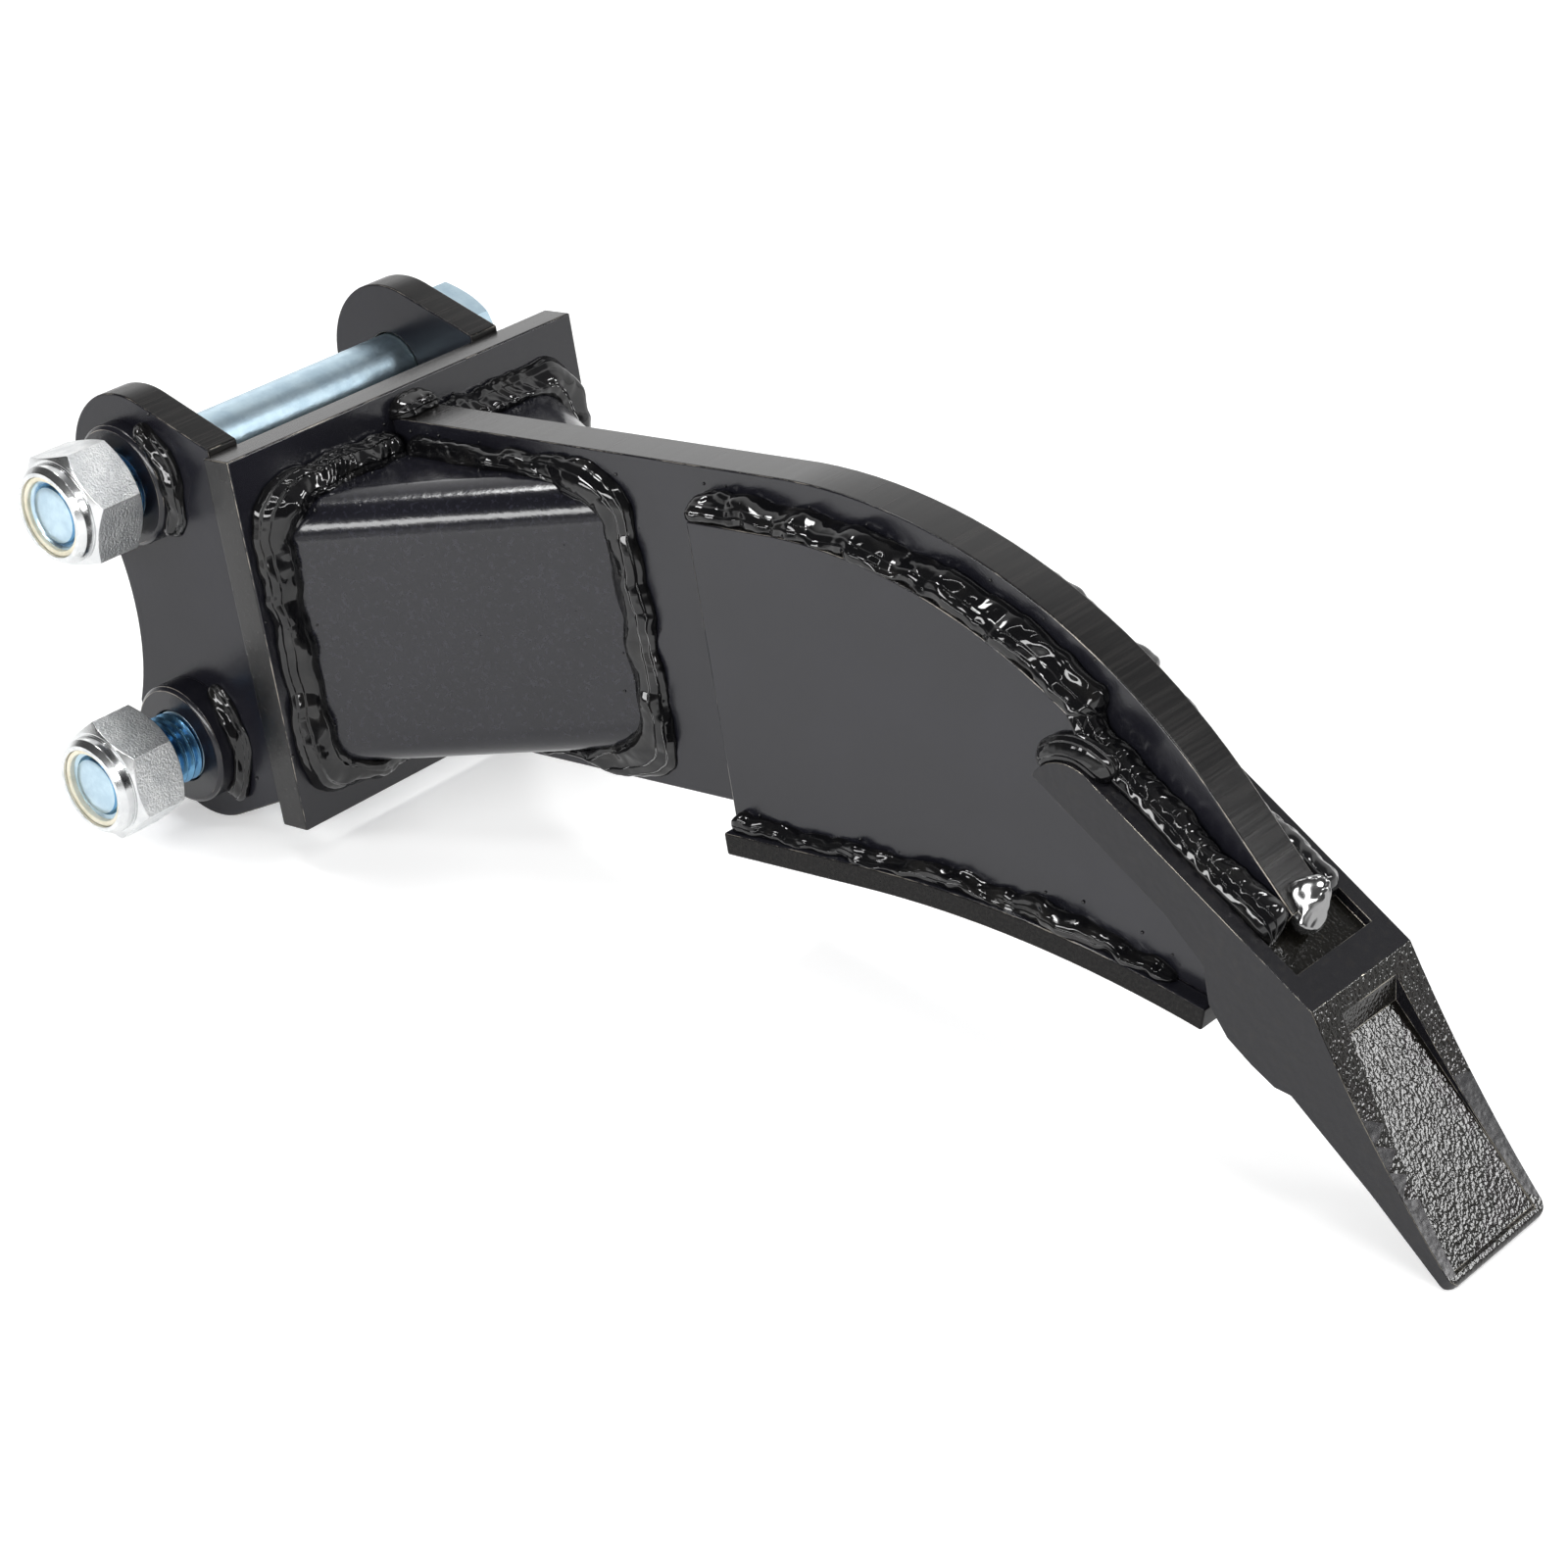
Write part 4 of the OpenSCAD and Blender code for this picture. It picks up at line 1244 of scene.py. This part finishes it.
    def end_run(self, side: Side) -> list[Station]:
        """Stations around the end of a gusset on the side of the shank.

        Args:
            side: side of the shank.

        Returns:
            The stations.
        """
        lie, bend = self.slant(), self.gusset_bend
        face = Vector((-math.cos(lie), -math.sin(lie), 0.0))
        made = []
        for inward, height, outward in self.tube_outline():
            inward = inward if inward <= bend else bend + (inward - bend) * 2.0
            root = Vector((max(self.gusset_reach - inward / math.sin(lie), 4.0), -self.shank_half, height))
            upright, bent = abs(outward.x), abs(outward.x * outward.y)
            droop = 3.6 * upright * (self.gusset_top - height) / (self.gusset_top - self.gusset_bottom)
            leg_a = Vector((-outward.x, 0.0, outward.y)) * (5.6 + 0.6 * upright + droop + 8.0 * bent)
            along = Vector((outward.y, 0.0, outward.x))
            leg_b = (face - along * face.dot(along)).normalized() * (6.4 - 0.4 * upright)
            made.append(Station(*flip(side, root, leg_a, leg_b), 1.7 + 1.9 * upright + 1.0 * bent, 1.0 - upright))
        return made

    def bent_place(self, run: float, level: float, centre: Pair, radius: float) -> tuple[Vector, Vector]:
        """A place on an edge that is straight and then bends down.

        Args:
            run: distance along the edge from the rear end of the cheek.
            level: height of the straight part.
            centre: middle of the bend, X and Z.
            radius: radius of the bend.

        Returns:
            The place, in the middle of the shank, and the direction square to the edge.
        """
        straight = centre[0] - self.cheek_start
        if run < straight:
            return Vector((self.cheek_start + run, 0.0, level)), Vector((0.0, 0.0, 1.0))
        turn = (run - straight) / radius
        up = Vector((math.sin(turn), 0.0, math.cos(turn)))
        return Vector((centre[0], 0.0, centre[1])) + up * radius, up

    def cheek_run(self, side: Side) -> list[Station]:
        """Stations along the upper edge of a cheek, straight and then around the bend.

        Args:
            side: side of the shank.

        Returns:
            The stations.
        """
        rises = [(0.0, 7.8), (10.0, 8.2), (25.0, 7.2), (52.0, 5.4), (75.0, 6.4), (95.0, 7.0), (120.0, 8.4),
                 (155.0, 8.8)]
        made = []
        for i in range(36):
            run = 158.0 * i / 35 - 3.0
            root, up = self.bent_place(run, self.ledge, self.bend_centre, self.ledge_radius)
            root.y = -self.shank_half
            rise = level_at(rises, run)
            made.append(Station(*flip(side, root, Vector((0.0, -10.3, 0.0)), up * rise), 2.6))
        return made

    def sole_run(self, side: Side) -> list[Station]:
        """Stations along a cheek on the sole bar, straight and then around the bend.

        Args:
            side: side of the shank.

        Returns:
            The stations.
        """
        rises = [(0.0, 4.8), (60.0, 3.6), (100.0, 4.6), (122.0, 5.4), (145.0, 4.4), (172.0, 4.4)]
        made = []
        for i in range(34):
            run = 170.0 * i / 33
            root, up = self.bent_place(run, self.sole_top, self.sole_centre, self.sole_radius)
            root.y = -self.cheek_half
            rise = level_at(rises, run)
            made.append(Station(*flip(side, root, Vector((0.0, -5.2, 0.0)), up * rise), 1.3))
        return made

    def fork_run(self, side: Side) -> list[Station]:
        """Stations of the heavy run in the groove between a leg and the shank.

        Args:
            side: side of the shank.

        Returns:
            The stations.
        """
        tops = [(-22.0, 5.6), (2.0, 5.4), (18.0, 5.0), (38.0, 4.2), (52.0, 5.6), (68.0, 5.2)]
        made = []
        for i in range(30):
            s = -21.0 + 86.5 * i / 29
            top = level_at(tops, s)
            raised = 0.9 * max(0.0, -8.0 - s)
            root = TOOTH.point(s, -13.0, raised - 5.0)
            toe_a = TOOTH.point(s, -19.3, 0.9 + 0.5 * raised) - root
            toe_b = TOOTH.point(s, -7.7, top + 0.6 * raised) - root
            smooth = max(0.0, (s - 42.0) / 26.0)
            made.append(Station(*flip(side, root, toe_a, toe_b), 2.6 + 1.0 * smooth, 1.0 - 0.7 * smooth))
        return made

    def leg_run(self, side: Side) -> list[Station]:
        """Stations of the run around the rounded rear end of a leg, on the face of the cheek.

        Args:
            side: side of the shank.

        Returns:
            The stations.
        """
        made = []
        for i in range(14):
            angle = math.radians(72.0 + 108.0 * i / 13)
            root = TOOTH.point(-2.0 + 14.0 * math.cos(angle), -self.cheek_half, -14.0 + 14.0 * math.sin(angle))
            away = TOOTH.direction(math.cos(angle), math.sin(angle)) * (10.0 - 4.0 * i / 13)
            made.append(Station(*flip(side, root, away, Vector((0.0, -5.2, 0.0))), 2.2 - 0.8 * i / 13, 0.3))
        return made

    def boss_run(self, pin: Pair, face: float, side: Side, span: Pair) -> list[Station]:
        """Stations around the plate side of a boss.

        Args:
            pin: middle of the boss in the head frame.
            face: Y of the ear's outer face.
            side: side of the ear.
            span: angles at the start and the end, in degrees from the head plate's direction.

        Returns:
            The stations.
        """
        first, last = span
        made = []
        for i in range(24):
            angle = math.radians(first + (last - first) * i / 23)
            away = Vector((math.cos(angle), 0.0, math.sin(angle)))
            root = Vector((pin[0], face, pin[1])) + away * self.boss_radius
            made.append(Station(root, away * 5.4, Vector((0.0, 4.6 * side.value, 0.0)), 1.3))
        return made

    def head_run(self) -> list[Station]:
        """Stations of the run across the top of the shank, against the head plate."""
        leg_a, leg_b = Vector((8.0, 0.0, 0.0)), Vector((0.0, 0.0, 6.6))
        return [Station(Vector((0.0, -9.0 + 2.0 * i, 55.0)), leg_a, leg_b, 1.6) for i in range(10)]

    def nose_drop(self) -> bpy.types.Object:
        """The drop of weld metal at the nose of the shank, with a short tail.

        Returns:
            The new piece.
        """
        bm = bmesh.new()
        bmesh.ops.create_icosphere(bm, subdivisions=5, radius=1.0)
        for vert in bm.verts:
            way = vert.co.copy()
            size = 6.0 + 1.2 * noise.noise(way * 1.2 + Vector((3.0, 1.0, 2.0))) + 0.5 * abs(noise.noise(way * 2.2))
            rise = max(0.0, way.z)
            s = 65.5 - 2.0 * rise + way.x * size * (0.85 if way.x > 0 else 1.25)
            n = max(-3.4, 3.0 + way.z * size * (1.0 + 0.9 * rise))
            vert.co = TOOTH.point(s, -1.0 + 3.0 * rise + way.y * size * (0.9 - 0.3 * rise), n)
        bmesh.ops.transform(bm, matrix=HEAD.matrix(), verts=bm.verts)
        bmesh.ops.recalc_face_normals(bm, faces=bm.faces)
        return place_piece(bm, "weld_nose_drop", "weld_nose", [self.paints.drop], weighted=False)


@dataclass(frozen=True)
class Softbox:
    """One lamp: its middle, width and height in metres, and its power in watts."""

    name: str
    place: Triple
    width: float
    height: float
    power: float


@dataclass
class Studio:
    """Camera, lamps, sky and floor."""

    place: Triple = (0.67367, -0.73469, 0.64992)
    right: Triple = (0.7467323, 0.6649740, -0.0141594)
    up: Triple = (-0.3279399, 0.3866140, 0.8619658)
    back: Triple = (0.5786591, -0.6390142, 0.5067687)
    aim: Triple = (0.0, 0.0, 0.07)
    sensor: float = 36.0
    lens: float = 87.44
    floor_size: float = 30.0
    softboxes: tuple[Softbox, ...] = (
        Softbox("key_softbox", (0.2, -1.5, 0.85), 1.9, 0.32, 25.0),
        Softbox("rim_softbox", (1.53, 1.28, 0.89), 0.44, 0.44, 10.0),
        Softbox("top_softbox", (-0.85, -0.1, 1.75), 0.42, 0.26, 9.0),
        Softbox("back_softbox", (-1.6, 1.4, 0.62), 1.5, 0.6, 1.8),
        Softbox("over_strip", (0.45, -0.35, 1.9), 1.5, 0.05, 5.0),
        Softbox("far_softbox", (0.99, 0.72, 1.5), 0.30, 0.30, 7.5),
    )

    def build(self) -> None:
        """Sets up the whole studio."""
        self.camera()
        self.floor()
        self.sky()
        for softbox in self.softboxes:
            self.lamp(softbox)
        bpy.context.scene.view_settings.view_transform = "Standard"

    def camera(self) -> None:
        """Makes the camera at the photograph's place."""
        data = bpy.data.cameras.new("camera")
        data.sensor_width = self.sensor
        data.lens = self.lens
        data.clip_start, data.clip_end = 0.05, 100.0
        camera = bpy.data.objects.new("camera", data)
        turn = Matrix((self.right, self.up, self.back)).transposed()
        camera.matrix_world = Matrix.Translation(self.place) @ turn.to_4x4()
        bpy.context.scene.collection.objects.link(camera)
        bpy.context.scene.camera = camera

    def floor(self) -> None:
        """Makes the pale floor."""
        bm = bmesh.new()
        bmesh.ops.create_grid(bm, x_segments=4, y_segments=4, size=self.floor_size / 2)
        mesh = bpy.data.meshes.new("floor")
        bm.to_mesh(mesh)
        bm.free()
        mesh.materials.append(PaleFloor().material())
        floor = bpy.data.objects.new("floor", mesh)
        bpy.context.scene.collection.objects.link(floor)

    def sky(self) -> None:
        """Makes the surround: a white horizon, a pale wall at the back and a dim ceiling and front."""
        world = bpy.data.worlds.new("surround")
        bpy.context.scene.world = world
        world.use_nodes = True
        world.node_tree.nodes.clear()
        graph = Graph(world.node_tree)
        way = graph.add("SeparateXYZ", {0: graph.add("TexCoord").outputs["Generated"]}).outputs
        slope = graph.math("ADD", way["Z"], graph.math("MULTIPLY", way["X"], 0.7))
        wall = graph.mix(graph.ramp(slope, 0.56, 0.78), (1.0, 1.0, 1.0), (0.22, 0.22, 0.225))
        front = graph.math("MULTIPLY", graph.ramp(way["Y"], 0.3, -0.2), graph.ramp(way["Z"], 0.05, 0.22))
        sky = graph.add("Background", {"Color": graph.mix(front, wall, (0.07, 0.07, 0.07)), "Strength": 1.0})
        graph.add("OutputWorld", {"Surface": sky.outputs[0]})

    def lamp(self, softbox: Softbox) -> None:
        """Makes one softbox that faces the part.

        Args:
            softbox: place, size and power of the lamp.
        """
        data = bpy.data.lights.new(softbox.name, "AREA")
        data.shape = "RECTANGLE"
        data.size, data.size_y, data.energy = softbox.width, softbox.height, softbox.power
        lamp = bpy.data.objects.new(softbox.name, data)
        lamp.location = softbox.place
        lamp.rotation_mode = "QUATERNION"
        lamp.rotation_quaternion = (Vector(self.aim) - Vector(softbox.place)).to_track_quat("-Z", "Y")
        bpy.context.scene.collection.objects.link(lamp)


def main() -> None:
    """Builds the part and the studio."""
    logging.basicConfig(level=logging.INFO, format="%(name)s %(message)s")
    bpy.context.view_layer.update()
    paints = Paintbox()
    for maker in (FlatPlates, Gussets, Bosses, HitchBolts, CastTooth, WeldShop):
        LOG.info("building %s", maker.__name__)
        maker(paints).build()
    Studio().build()


if __name__ == "__main__":
    main()
